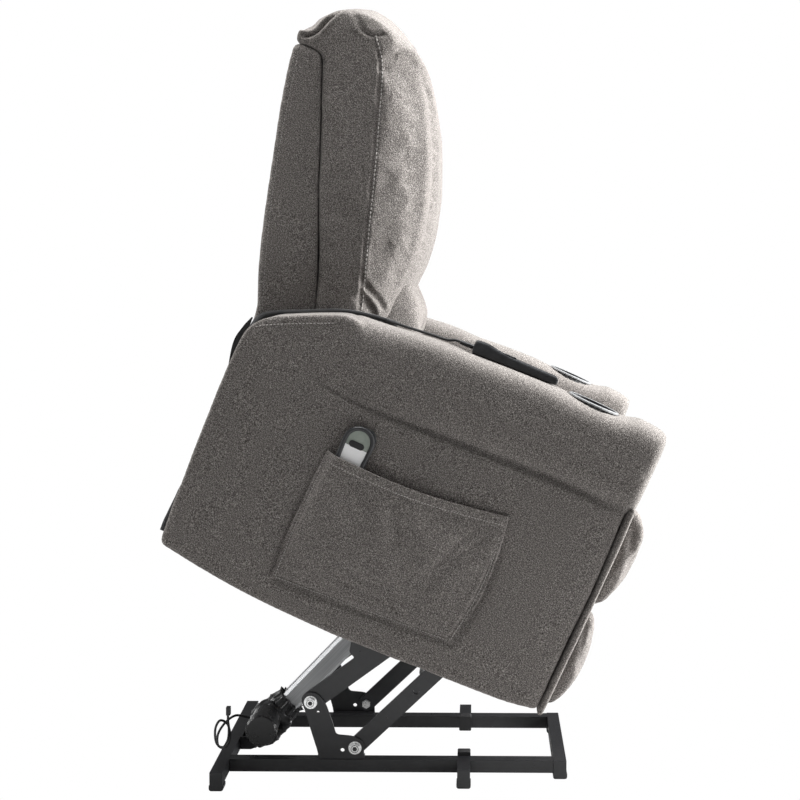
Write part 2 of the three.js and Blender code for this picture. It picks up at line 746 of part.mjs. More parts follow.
// ---------------------------------------------------------------- arms
const ARM_CORNER = 14; // radius of the box corners
const armOutline = () =>
  outline([
    [0, 0, ARM_CORNER],
    [...ARM_REAR, 30],
    [-12, ARM_REAR[1] + 45, 24],
    [8, ARM_REAR[1] + 65, 14],
    [70, ARM_TOP - 28, 30],
    [PAD_FROM - 30, ARM_TOP, 14],
    [PAD_FROM - GAP, ARM_TOP, 12],
    [PAD_FROM - GAP, CREASE - 1, 0],
    [ARM_FRONT - 3, CREASE - 1, 12],
    [ARM_FRONT, 290, 40],
    [ARM_FRONT + 4, 190, 40],
    [ARM_FRONT, 70, 40],
    [ARM_FRONT - 4, -4, 16],
    [ARM_FRONT - 60, -11, 20],
  ]);
for (const [name, side] of sides) {
  const [low, high] = span(side, ARM_IN, ARM_OUT);
  add(chair, "arm_box_" + name, plate(armOutline(), low, high, 3, 6), cloth);
}

// The height of the arm pad's top over u.
const PAD_TOP = [
  [PAD_FROM, 517],
  [350, 536],
  [535, 545],
  [563, 542],
  [CUP_AT + CUP_RIM + 2, 542],
  [705, 553],
  [745, 551],
];
const padTop = (u) => profile(PAD_TOP, u);
// The pad is a rounded roll: rings across it, drawn in at both ends.
function armPad(side) {
  const stations = [
    [PAD_FROM, 0.9],
    [PAD_FROM + 6, 1],
    [240, 1],
    [320, 1],
    [400, 1],
    [480, 1],
    [535, 1],
    [563, 1],
    [CUP_AT + CUP_RIM + 2, 1],
    [690, 1],
    [725, 1],
    [748, 0.97],
    [762, 0.9],
    [PAD_FRONT, 0.74],
  ];
  const n = 24;
  const rings = stations.map(([u, scale]) => {
    const top = padTop(u);
    const mid = (top + CREASE) / 2;
    const half = ((top - CREASE) / 2) * scale;
    const wide = (ARM_OUT - ARM_IN) / 2;
    return Array.from({ length: n }, (_, k) => {
      const a = (2 * Math.PI * k) / n;
      const c = bend(Math.cos(a), 0.42);
      const s = bend(Math.sin(a), 0.42);
      const out = c > 0 ? wide + PAD_BULGE : wide;
      const x = ARM_MID + c * out * (0.94 + 0.06 * scale);
      return [side * x, -u, mid + s * half];
    });
  });
  return skin(rings);
}
for (const [name, side] of sides) {
  const middle = side * ARM_MID;
  const well = new THREE.CylinderGeometry(CUP_RADIUS + 1.5, CUP_RADIUS + 1.5, 120, 24);
  const wellLow = padTop(CUP_AT) - CUP_DEEP - 2;
  well.rotateX(Math.PI / 2).translate(middle, -CUP_AT, wellLow + 60);
  add(chair, "arm_pad_" + name, cut(armPad(side), well), cloth);
  const rimLow = padTop(CUP_AT) + GAP;
  const cup = [
    [0, rimLow - CUP_DEEP],
    [CUP_RADIUS - 6, rimLow - CUP_DEEP],
    [CUP_RADIUS, rimLow - CUP_DEEP + 8],
    [CUP_RADIUS, rimLow],
    [CUP_RIM, rimLow],
    [CUP_RIM, rimLow + 2.5],
    [CUP_RIM - 3, rimLow + 4],
    [CUP_RADIUS - CUP_WALL, rimLow + 3],
    [CUP_RADIUS - CUP_WALL, rimLow - CUP_DEEP + 8],
    [CUP_RADIUS - CUP_WALL - 6, rimLow - CUP_DEEP + 2],
    [0, rimLow - CUP_DEEP + 2],
  ].map(([x, y]) => new THREE.Vector2(x, y));
  const holder = new THREE.LatheGeometry(cup, 24);
  holder.rotateX(Math.PI / 2).translate(middle, -CUP_AT, 0);
  add(chair, "cup_holder_" + name, holder, silver);
}

// ---------------------------------------------------------------- seat and dust cover
// A cushion lofted across the chair from a side outline, drawn in and shortened at its ends. Its
// face before "seam" curves back to the seam at the ends.
function cushion(points, half, options = {}) {
  const { pull = 10, soft = 28, rows = 4, puff = 0, seam = Infinity, place = (p) => p } = options;
  const share = 1 / points.length;
  const centre = points.map(place).reduce((s, p) => [s[0] + p[0] * share, s[1] + p[1] * share], [0, 0]);
  const xs = [];
  const edge = (i) => half - soft * (1 - Math.cos((i / rows) * (Math.PI / 2)));
  for (let i = 0; i <= rows; i++) xs.push(-edge(i));
  const inner = 4;
  for (let i = 1; i < inner; i++) xs.push(-half + soft + (i * 2 * (half - soft)) / inner);
  for (let i = rows; i >= 0; i--) xs.push(edge(i));
  const rings = xs.map((x) => {
    const t = clamp((half - Math.abs(x)) / soft);
    const inset = pull * (1 - Math.sqrt(1 - (1 - t) ** 2));
    const crown = puff * Math.cos((x / half) * (Math.PI / 2));
    const bulge = (1 - (Math.abs(x) / half) ** 3) ** 0.5;
    return points.map(([forward, up, weight = 1]) => {
      const turned = forward > seam ? seam + (forward - seam) * bulge : forward;
      const [u, v] = place([turned, up]);
      const du = u - centre[0];
      const dv = v - centre[1];
      const r = Math.hypot(du, dv);
      const k = 1 - Math.min(0.9, inset / r) + (crown * weight) / r;
      return [x, -(centre[0] + du * k), centre[1] + dv * k];
    });
  });
  return skin(rings);
}
// A smooth closed curve through corner points given as [forward, up, weight], with a number of
// steps from each to the next and a rule that keeps it off what lies behind or below it.
function rounded(points, steps, keep = (p) => p) {
  const curve = new THREE.CatmullRomCurve3(
    points.map(([u, v, w = 1]) => new THREE.Vector3(u, v, w)),
    true,
    "centripetal",
  );
  const along = curve.getPoints(points.length * steps).slice(0, -1);
  return along.map((p) => keep([p.x, p.y, clamp(p.z)]));
}

const seatOutline = [
  [225, DECK_TOP + 3, 0],
  [480, DECK_TOP + 1, 0],
  [728, DECK_TOP + 3, 0],
  [742, DECK_TOP + 55, 0],
  [752, DECK_TOP + 101, 0],
  [778, DECK_TOP + 107, 0],
  [784, DECK_TOP + 123, 0.3],
  [766, DECK_TOP + 139, 0.8],
  [640, DECK_TOP + 146, 1],
  [480, DECK_TOP + 143, 1],
  [330, DECK_TOP + 134, 1],
  [235, DECK_TOP + 117, 0.5],
  [212, DECK_TOP + 85, 0],
  [214, DECK_TOP + 25, 0],
];
const onDeck = ([u, v, w]) => [u, Math.max(v, DECK_TOP + 1), w];
const seatForm = cushion(rounded(seatOutline, 2, onDeck), ARM_IN - 3, { pull: 12, soft: 40, puff: 4 });
add(chair, "seat_cushion", seatForm, cloth);

// The cover bulges behind the seat at its foot. Its side wings lie on the rear edges of the arm
// boxes and stand out again beside the backrest.
const COVER = 2;
const COVER_HALF = 330;
const armRear = (v) => (ARM_REAR[0] * Math.min(v, ARM_REAR[1])) / ARM_REAR[1] - GAP;
const coverBack = [
  [-18, -4],
  [-17, 62],
  [armRear(130) - COVER, 130],
  [armRear(335) - COVER, 335],
]; // outer face of the middle sheet
const wingBack = [
  [armRear(300) - COVER, 300],
  [-34, 372],
  [-30, 408],
  [-22, 432],
]; // outer edge of the wings above it
const coverLow = ARM_CORNER;
const coverSheet = outline([...coverBack, ...[...coverBack].reverse().map(([u, v]) => [u + COVER, v])]);
const coverSide = outline([
  ...coverBack.slice(0, 3).map(([u, v]) => [u, Math.max(v, coverLow)]),
  ...wingBack,
  [armRear(wingBack[3][1]), wingBack[3][1]],
  [armRear(ARM_REAR[1]), ARM_REAR[1]],
  [armRear(coverLow), coverLow],
]);
const returns = sides.map(([, side]) => plate(coverSide, ...span(side, COVER_HALF - COVER, COVER_HALF)));
add(chair, "dust_cover", join(plate(coverSheet, -COVER_HALF, COVER_HALF), ...returns), lining);

// ---------------------------------------------------------------- backrest
// The chair's u and v of a point in the backrest's leaning frame.
function fromBack([p, q, ...rest]) {
  return [
    BACK_FROM[0] + p * Math.cos(BACK_LEAN) - q * Math.sin(BACK_LEAN),
    BACK_FROM[1] + p * Math.sin(BACK_LEAN) + q * Math.cos(BACK_LEAN),
    ...rest,
  ];
}
const frameOutline = outline(
  [
    [10, -84, 9],
    [...FRAME_LOW, 12],
    [...FRAME_HIGH, 10],
    [FRAME_HIGH[0] - 8, FRAME_HIGH[1] + 14, 12],
    [4, FRAME_HIGH[1] + 23, 12],
    [0, 420, 40],
    [-2, 200, 60],
    [0, 20, 20],
    [-12, -20, 16],
    [-12, -60, 16],
  ].map(fromBack),
);
const HINGE_PIN = 9;
const hingeAt = fromBack(RECLINE_AT);
const hinges = sides.map(([, side]) => {
  const reachToArm = span(side, BACK_HALF - 2, ARM_IN - GAP);
  return across(HINGE_PIN, ...reachToArm, hingeAt, 16);
});
const frameSolid = plate(frameOutline, -BACK_HALF, BACK_HALF, 3, 7);
add(chair, "backrest_frame", join(frameSolid, ...hinges), cloth);
// The front of the frame at a height q, as a point of a pillow that lies on it.
function frameFront(q) {
  const [[p0, q0], [p1, q1]] = [FRAME_LOW, FRAME_HIGH];
  return [p0 + ((p1 - p0) * (q - q0)) / (q1 - q0) + GAP, q, 0];
}
function offFrame([p, q, weight]) {
  const [least] = frameFront(Math.min(q, FRAME_HIGH[1]));
  return [Math.max(p, least), q, weight];
}

const backForm = (points) => rounded(points, 2, offFrame);
const pillowOutline = [
  ...[116, 210, 305, 400, FRAME_HIGH[1]].map(frameFront),
  [48, 520, 0],
  [20, 530, 0],
  [2, 536, 0.2],
  [10, 584, 0.6],
  [44, 616, 1],
  [100, 630, 1],
  [160, 612, 1],
  [214, 554, 1],
  [256, 482, 1],
  [284, 390, 1],
  [294, 290, 1],
  [286, 200, 1],
  [262, 140, 0.8],
  [210, 116, 0.4],
  [150, 112, 0],
];
const fullDepth = { place: fromBack, puff: 4, rows: 5 };
add(
  chair,
  "back_pillow",
  cushion(backForm(pillowOutline), BACK_HALF + 4, { ...fullDepth, seam: 190, pull: 12, soft: 60 }),
  cloth,
);
const lumbarOutline = [
  ...[-46, 0, 50, 100].map(frameFront),
  [180, 108, 0.5],
  [240, 108, 0.8],
  [290, 88, 1],
  [311, 30, 1],
  [304, -20, 1],
  [270, -48, 0.6],
  [190, -54, 0],
];
const lumbarShape = { place: fromBack, pull: 14, soft: 50, seam: 220 };
const lumbarForm = cushion(backForm(lumbarOutline), BACK_HALF - 2, lumbarShape);
add(chair, "lumbar_pillow", lumbarForm, cloth);

// ---------------------------------------------------------------- footrest
const STAGE_X = 240; // inner face of the first links
const STAGE = 4;
const CARRY_X = STAGE_X - STAGE - 1.5; // inner face of the second links
const ELBOW_PIN = 6;
// A flat link with round ends between two points, with holes given as [point, radius].
function flatLink(from, to, wide, low, high, holes) {
  const angle = Math.atan2(to[1] - from[1], to[0] - from[0]);
  const length = Math.hypot(to[0] - from[0], to[1] - from[1]);
  const shape = linkOutline(from, angle, [
    [-wide, -wide, wide],
    [length + wide, -wide, wide],
    [length + wide, wide, wide],
    [-wide, wide, wide],
  ]);
  holes.forEach(([at, radius]) => hole(shape, at, radius));
  return plate(shape, low, high);
}
const swingPieces = [across(SHAFT, -STAGE_X - 1, STAGE_X + 1, FOOT_PIVOT, 16)];
const carryPieces = [across(ELBOW_PIN, -STAGE_X - STAGE - 2, STAGE_X + STAGE + 2, FOOT_ELBOW, 16)];
for (const [, side] of sides) {
  const outer = span(side, STAGE_X, STAGE_X + STAGE);
  const inner = span(side, CARRY_X, CARRY_X + STAGE);
  const elbowHole = [FOOT_ELBOW, ELBOW_PIN + PIN_CLEAR];
  const boardHole = [FOOT_HINGE, PIN + PIN_CLEAR];
  swingPieces.push(flatLink(FOOT_PIVOT, FOOT_ELBOW, 12, ...outer, [elbowHole]));
  carryPieces.push(flatLink(FOOT_ELBOW, FOOT_HINGE, 11, ...inner, [boardHole]));
}
add(chair, "footrest_swing_frame", join(...swingPieces), steel);
add(chair, "footrest_carry_frame", join(...carryPieces), steel);

const boardHalf = FOOT_HALF - 3;
const boardTo = BOARD_FROM + BOARD_THICK;
const boardPieces = [box(-boardHalf, boardHalf, BOARD_FROM, boardTo, BOARD_LOW, BOARD_TOP)];
for (const [, side] of sides) {
  const face = CARRY_X - GAP;
  boardPieces.push(
    plate(
      outline(
        [
          [FOOT_HINGE[0] - 8, FOOT_HINGE[1] - 9],
          [BOARD_FROM + 2, FOOT_HINGE[1] - 22],
          [BOARD_FROM + 2, FOOT_HINGE[1] + 22],
          [FOOT_HINGE[0] - 8, FOOT_HINGE[1] + 9],
        ],
        5,
      ),
      ...span(side, face - 5, face),
    ),
    across(PIN, ...span(side, face - 1, STAGE_X - 1), FOOT_HINGE, 16),
  );
}
add(chair, "footrest_board", join(...boardPieces), wood);
const padRear = boardTo + GAP;
// Outlines of the two lobes: u, height over the board's lower edge, and weight
const upperPad = [
  [padRear, 190, 0],
  [padRear, 288, 0],
  [padRear, 378, 0],
  [782, 393, 0.5],
  [806, 386, 1],
  [822, 364, 1],
  [826, 336, 1],
  [823, 293, 1],
  [816, 243, 1],
  [803, 198, 0.7],
  [786, 185, 0.2],
];
const lowerPad = [
  [padRear, -4, 0],
  [padRear, 88, 0],
  [padRear, 168, 0],
  [786, 179, 0.2],
  [803, 168, 0.7],
  [814, 130, 1],
  [820, 86, 1],
  [815, 38, 1],
  [802, -2, 0.8],
  [786, -12, 0.4],
];
const onBoard = ([u, over, w]) => [Math.max(u, padRear), BOARD_LOW + over, w];
const padForm = (points) => cushion(rounded(points, 2, onBoard), FOOT_HALF, { pull: 14, soft: 34 });
add(chair, "footrest_pad_upper", padForm(upperPad), cloth);
add(chair, "footrest_pad_lower", padForm(lowerPad), cloth);

// ---------------------------------------------------------------- pocket and its remote
// The pocket's front sheet stands off the arm's face and closes on it at the sides and bottom.
const POCKET = { u0: 207, u1: 552, low: 24, high: 276, skew: 24, thick: 2.6, bulge: 18 };
function pocketSheet() {
  const columns = 16;
  const rows = 8;
  const front = [];
  const back = [];
  for (let j = 0; j <= rows; j++) {
    for (let i = 0; i <= columns; i++) {
      const s = i / columns;
      const t = j / rows;
      const u = POCKET.u0 + (POCKET.u1 - POCKET.u0) * s;
      const sag = 14 * Math.sin(Math.PI * s) * t;
      const v = POCKET.low + POCKET.skew * s + (POCKET.high - POCKET.low) * t - sag;
      const off = POCKET.bulge * Math.min(1, Math.sin(Math.PI * s) * 6) * Math.min(1, t * 2.6);
      front.push([-(ARM_OUT + GAP + 0.4 + off + POCKET.thick), -u, v]);
      back.push([-(ARM_OUT + GAP + 0.4 + off), -u, v]);
    }
  }
  const n = columns + 1;
  const rim = [];
  for (let i = 0; i < columns; i++) rim.push(i);
  for (let j = 0; j < rows; j++) rim.push(j * n + columns);
  for (let i = columns; i > 0; i--) rim.push(rows * n + i);
  for (let j = rows; j > 0; j--) rim.push(j * n);
  const at = [...front, ...back].flat();
  const shift = front.length;
  const faces = [];
  for (let j = 0; j < rows; j++) {
    for (let i = 0; i < columns; i++) {
      const a = j * n + i;
      faces.push(a, a + n, a + 1, a + 1, a + n, a + n + 1);
      faces.push(a + shift, a + 1 + shift, a + n + shift);
      faces.push(a + 1 + shift, a + n + 1 + shift, a + n + shift);
    }
  }
  rim.forEach((a, i) => {
    const b = rim[(i + 1) % rim.length];
    faces.push(a, b, a + shift, b, b + shift, a + shift);
  });
  const g = new THREE.BufferGeometry();
  g.setAttribute("position", new THREE.Float32BufferAttribute(at, 3));
  g.setIndex(faces);
  const flat = g.toNonIndexed();
  if (volume(flat) < 0) {
    const p = flat.attributes.position.array;
    for (let i = 0; i < p.length; i += 9) {
      for (let k = 0; k < 3; k++) [p[i + k], p[i + 3 + k]] = [p[i + 3 + k], p[i + k]];
    }
  }
  flat.computeVertexNormals();
  return flat;
}
add(chair, "side_pocket", pocketSheet(), cloth);

const REMOTE = { u: 256, low: 192, high: 342, half: 25, thick: 12, face: ARM_OUT + GAP };
const remoteOutline = () =>
  outline([
    [REMOTE.u - REMOTE.half + 4, REMOTE.low, 10],
    [REMOTE.u + REMOTE.half - 4, REMOTE.low, 10],
    [REMOTE.u + REMOTE.half, REMOTE.high - 60, 12],
    [REMOTE.u + REMOTE.half, REMOTE.high, 25],
    [REMOTE.u - REMOTE.half, REMOTE.high, 25],
    [REMOTE.u - REMOTE.half, REMOTE.high - 60, 12],
  ]);
const BUTTON_PLAY = 0.5;
const LENS = { u: REMOTE.u - 1, v: 308, long: 11, tall: 5.5, deep: 4, proud: 1.6, travel: 1.2 };
const lens = (grow) => {
  const shape = new THREE.Shape();
  shape.absellipse(LENS.u, LENS.v, LENS.long + grow, LENS.tall + grow, 0, 2 * Math.PI);
  return shape;
};
const remoteFace = -(REMOTE.face + REMOTE.thick);
add(
  chair,
  "pocket_remote",
  cut(
    plate(remoteOutline(), remoteFace, -REMOTE.face, 5, 1.5),
    plate(lens(BUTTON_PLAY), remoteFace - 1, remoteFace + LENS.deep + LENS.travel, 8),
  ),
  plastic,
);
add(
  chair,
  "pocket_remote_button",
  plate(lens(0), remoteFace - LENS.proud, remoteFace + LENS.deep - 0.2, 8),
  rubber,
);

// ---------------------------------------------------------------- handset on the right arm
const HANDSET = { from: 371, to: 537, half: 24, thick: 20, x: -ARM_MID + 4, over: 1.2 };
const slope = Math.atan2(padTop(HANDSET.to) - padTop(HANDSET.from), HANDSET.to - HANDSET.from);
const handsetFrame = new THREE.Matrix4()
  .makeTranslation(HANDSET.x, -HANDSET.from, padTop(HANDSET.from) + HANDSET.over)
  .multiply(new THREE.Matrix4().makeRotationX(-slope));
// Built lying along -Y from its rear end, its underside at z = 0.
const handsetLong = HANDSET.to - HANDSET.from;
const handsetSide = outline([
  [0, 0, 4],
  [handsetLong, 0, 5],
  [handsetLong, HANDSET.thick - 6, 6],
  [handsetLong * 0.35, HANDSET.thick - 2, 20],
  [24, HANDSET.thick + 5, 10],
  [0, HANDSET.thick + 4, 8],
]);
const KEY = { half: 10, long: 13, deep: 3, proud: 1.2, travel: 1.2 };
const keyAt = [38, 68];
const faceHeights = [
  [0, HANDSET.thick + 4],
  [24, HANDSET.thick + 3.6],
  [handsetLong * 0.35, HANDSET.thick - 2],
  [handsetLong, HANDSET.thick - 6],
];
const keyTop = (s) => profile(faceHeights, s);
const keyBox = (s, grow, low, high) =>
  box(-KEY.half - grow, KEY.half + grow, s - KEY.long - grow, s + KEY.long + grow, low, high);
const ease = (g) => g.applyMatrix4(handsetFrame);
const STRAIN = 26; // length of the strain relief
const strain = along(4.2, -STRAIN, 2, [0, HANDSET.thick / 2], 0, 12);
add(
  chair,
  "handset",
  ease(
    cut(
      join(plate(handsetSide, -HANDSET.half, HANDSET.half, 4, 3), strain),
      ...keyAt.map((s) => keyBox(s, BUTTON_PLAY, keyTop(s) - KEY.deep - KEY.travel, 60)),
    ),
  ),
  plastic,
);
["up", "down"].forEach((word, i) => {
  const s = keyAt[i];
  const top = keyTop(s + KEY.long) + KEY.proud;
  const g = keyBox(s, 0, keyTop(s) - KEY.deep, top + 1);
  add(chair, "handset_button_" + word, ease(g), rubber);
});

// ---------------------------------------------------------------- cords
const CORD = 2.6; // radius of the handset cord
function tubeAlong(points, radius, steps, corners = 8) {
  const route = points.map((p) => new THREE.Vector3(...p));
  const ring = new THREE.Shape();
  for (let k = 0; k < corners; k++) {
    const a = (2 * Math.PI * k) / corners;
    const p = [radius * Math.cos(a), radius * Math.sin(a)];
    if (k === 0) ring.moveTo(...p);
    else ring.lineTo(...p);
  }
  ring.closePath();
  return new THREE.ExtrudeGeometry(ring, {
    steps,
    bevelEnabled: false,
    extrudePath: new THREE.CatmullRomCurve3(route, false, "centripetal"),
  });
}
// A point behind the strain relief, on its axis.
function behindStrain(distance) {
  const p = new THREE.Vector3(0, STRAIN + GAP + distance, HANDSET.thick / 2);
  return p.applyMatrix4(handsetFrame).toArray();
}
const cordStart = behindStrain(0);
// From the handset back along the arm, over its inner edge, down beside the backrest and into the
// rear rail of the seat deck.
const cordDown = -(ARM_IN - 5);
const cordRoute = [
  cordStart,
  behindStrain(3 * CORD),
  [cordStart[0] + 4, -322, padTop(322) + 5],
  [cordStart[0] + 12, -296, padTop(296) + CORD + 1.6],
  [-286, -250, padTop(250) + CORD + 1.6],
  [-266, -212, padTop(212) + CORD + 1.6],
  [cordDown - 3, -192, padTop(192) + CORD - 1],
  [cordDown, -184, padTop(184) - 20],
  [cordDown, -178, 430],
  [cordDown, -179, 360],
  [cordDown, -181, 310],
  [cordDown, -190, 284],
  [cordDown, -204, 274],
  [cordDown, GAP - DECK_FROM, 273],
];
add(chair, "handset_cord", tubeAlong(cordRoute, CORD, 36), rubber);

// The motor's lead: two loops behind the motor, held short of the connector.
const LEAD = 2.4;
const leadRoute = [
  [-62, -8.4, 90.8],
  [-64, 2, 94],
  [-78, 20, 101],
  [-97, 38, 92],
  [-112, 50, 72],
  [-124, 46, 54],
  [-112, 32, 50],
  [-96, 28, 66],
  [-92, 34, 88],
  [-106, 46, 100],
  [-126, 52, 90],
  [-138, 48, 66],
  [-128, 38, 52],
  [-112, 30, 62],
  [-104, 29, 84],
  [-107, 30, 100],
  [-107, 30, 110],
].map(([x, back, up]) => [x, -SWING[0] + back, up]);
add(base, "motor_lead", tubeAlong(leadRoute, LEAD, 56, 6), rubber);
const leadEnd = leadRoute[leadRoute.length - 1];
const [plugX, plugAt, plugLow] = [leadEnd[0], -leadEnd[1], leadEnd[2] + GAP];
add(
  base,
  "lead_connector",
  join(
    box(plugX - 6, plugX + 6, plugAt - 3, plugAt + 5, plugLow + 2, plugLow + 18),
    across(3, plugX - 3, plugX + 3, [plugAt, plugLow + 3], 12),
  ),
  plastic,
);

export default part;
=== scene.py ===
from math import atan2, copysign, cos, pi, radians, sin, sqrt

import bpy
import bmesh
import numpy as np
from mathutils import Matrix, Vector, noise
from mathutils.bvhtree import BVHTree


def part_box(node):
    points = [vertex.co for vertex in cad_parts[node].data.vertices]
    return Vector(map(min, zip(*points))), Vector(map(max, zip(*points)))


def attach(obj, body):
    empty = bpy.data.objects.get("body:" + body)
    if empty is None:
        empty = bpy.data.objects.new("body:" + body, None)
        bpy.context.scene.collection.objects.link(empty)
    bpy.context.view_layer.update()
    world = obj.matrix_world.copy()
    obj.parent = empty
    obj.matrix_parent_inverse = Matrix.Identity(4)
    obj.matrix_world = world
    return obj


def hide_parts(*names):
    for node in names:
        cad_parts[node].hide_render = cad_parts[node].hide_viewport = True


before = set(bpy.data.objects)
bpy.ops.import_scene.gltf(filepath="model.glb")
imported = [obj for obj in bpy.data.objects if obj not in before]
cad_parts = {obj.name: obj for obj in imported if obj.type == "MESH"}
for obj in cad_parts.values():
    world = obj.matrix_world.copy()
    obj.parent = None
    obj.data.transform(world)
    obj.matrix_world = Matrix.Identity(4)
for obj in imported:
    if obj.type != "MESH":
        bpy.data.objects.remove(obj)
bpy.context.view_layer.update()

# Lift recliner chair, raised and tipped forward. Work is in millimetres, in three frames:
# base (x, forward, up), chair (x, u, v) along and above the chair's bottom edge, and back
# (x, p, q) forward of and along the backrest's rear face. Meshes are stored in metres.
MM = 0.001
TILT = radians(24.2)
CORNER = (-588, 519)  # forward and up of the chair's rear bottom corner
MIDDLE = (-7.6, -136.9)  # x and forward of the middle of the whole, where x = y = 0
BACK_LEAN = radians(15.8)
BACK_FROM = (-26, 432)
ARM_OUT, ARM_IN = 391, 250
ARM_MID = (ARM_OUT + ARM_IN) / 2
BACK_HALF = 240
SIDES = (("right", -1), ("left", 1))
SCENE = bpy.context.scene


# ---- frames
def turn(a, b, angle, start=(0, 0)):
    """a along and b across a direction at that angle, from a starting point."""
    c, s = cos(angle), sin(angle)
    return start[0] + a * c + b * s, start[1] - a * s + b * c


def from_base(x, forward, up):
    return np.stack([x - MIDDLE[0], MIDDLE[1] - forward, up], -1) * MM


def from_chair(x, u, v):
    return from_base(x, *turn(u, v, TILT, CORNER))


def from_back(x, p, q):
    return from_chair(x, *turn(p, q, -BACK_LEAN, BACK_FROM))


def to_chair(co):
    """x, u and v of points given in metres."""
    x, forward, up = co[:, 0] / MM + MIDDLE[0], MIDDLE[1] - co[:, 1] / MM, co[:, 2] / MM
    return np.stack([x, *turn(forward - CORNER[0], up - CORNER[1], -TILT)], -1)


def to_back(co):
    """x, p and q of points given in metres."""
    x, u, v = to_chair(co).T
    return np.stack([x, *turn(u - BACK_FROM[0], v - BACK_FROM[1], BACK_LEAN)], -1)


def place(frame_of, points):
    return frame_of(*np.array(points, float).T)


def spot(frame_of, *point):
    return place(frame_of, [point])[0]


# ---- camera, stage and light
VIEW_LENS = 63.45
VIEW_FROM = (-2900.5, -13.7, 1025.7)  # x, forward and up in the base frame
VIEW_DOWN = radians(2.43)
VIEW_TURN = radians(0.81)
VIEW_SHIFT = (-0.075, -0.1)
CHAIR_MIDDLE = (0, 0, 0.85)
AMBIENT = 0.11
FLOOR_SIDE = 16


def put_in_scene(name, data):
    o = bpy.data.objects.new(name, data)
    SCENE.collection.objects.link(o)
    return o


camera = put_in_scene("camera", bpy.data.cameras.new("camera"))
camera.data.lens = VIEW_LENS
camera.data.sensor_width = 36
camera.data.shift_x, camera.data.shift_y = VIEW_SHIFT
camera.location = from_base(*VIEW_FROM)
camera.rotation_euler = (pi / 2 - VIEW_DOWN, 0, VIEW_TURN - pi / 2)
camera.data.clip_end = 50
SCENE.camera = camera
SCENE.view_settings.view_transform = "Standard"


def area_light(name, at, size, watts):
    """A lamp aimed at the middle of the chair, which the camera doesn't see."""
    light = bpy.data.lights.new(name, "AREA")
    light.shape = "RECTANGLE"
    light.size, light.size_y = size
    light.energy = watts
    o = put_in_scene(name, light)
    o.location = at
    o.rotation_euler = (Vector(CHAIR_MIDDLE) - Vector(at)).to_track_quat("-Z", "Y").to_euler()
    o.visible_camera = False


area_light("front_light", (0.25, -3.0, 1.4), (1.7, 3.0), 500)
area_light("rear_light", (0.1, 3.2, 1.6), (1.4, 2.4), 90)
area_light("top_light", (0.0, 0.0, 3.6), (1.6, 2.4), 200)
area_light("side_light", (-3.4, 0.9, 1.9), (2.4, 2.4), 11)


def white_where_seen(tree, shader, output):
    """Plain white to the camera and through glass, and the shader for everything else."""
    path = tree.nodes.new("ShaderNodeLightPath")
    seen = tree.nodes.new("ShaderNodeMath")
    seen.operation = "MAXIMUM"
    white = tree.nodes.new("ShaderNodeEmission")
    white.inputs["Strength"].default_value = 1.0
    mix = tree.nodes.new("ShaderNodeMixShader")
    for start, end in (
        (path.outputs["Is Camera Ray"], seen.inputs[0]),
        (path.outputs["Is Transmission Ray"], seen.inputs[1]),
        (seen.outputs[0], mix.inputs[0]),
        (shader, mix.inputs[1]),
        (white.outputs[0], mix.inputs[2]),
        (mix.outputs[0], tree.nodes[output].inputs[0]),
    ):
        tree.links.new(start, end)


def make_stage():
    world = bpy.data.worlds.new("studio")
    SCENE.world = world
    world.use_nodes = True
    ambient = world.node_tree.nodes["Background"]
    ambient.inputs["Color"].default_value = (1, 1, 1, 1)
    ambient.inputs["Strength"].default_value = AMBIENT
    white_where_seen(world.node_tree, ambient.outputs[0], "World Output")

    material = bpy.data.materials.new("pale_floor")
    material.use_nodes = True
    pale = material.node_tree.nodes["Principled BSDF"]
    pale.inputs["Base Color"].default_value = (0.5, 0.5, 0.5, 1)
    pale.inputs["Roughness"].default_value = 0.7
    white_where_seen(material.node_tree, pale.outputs[0], "Material Output")
    bpy.ops.mesh.primitive_plane_add(size=FLOOR_SIDE, location=(0, 0, 0))
    floor = bpy.context.object
    floor.name = "floor"
    floor.data.materials.append(material)


make_stage()


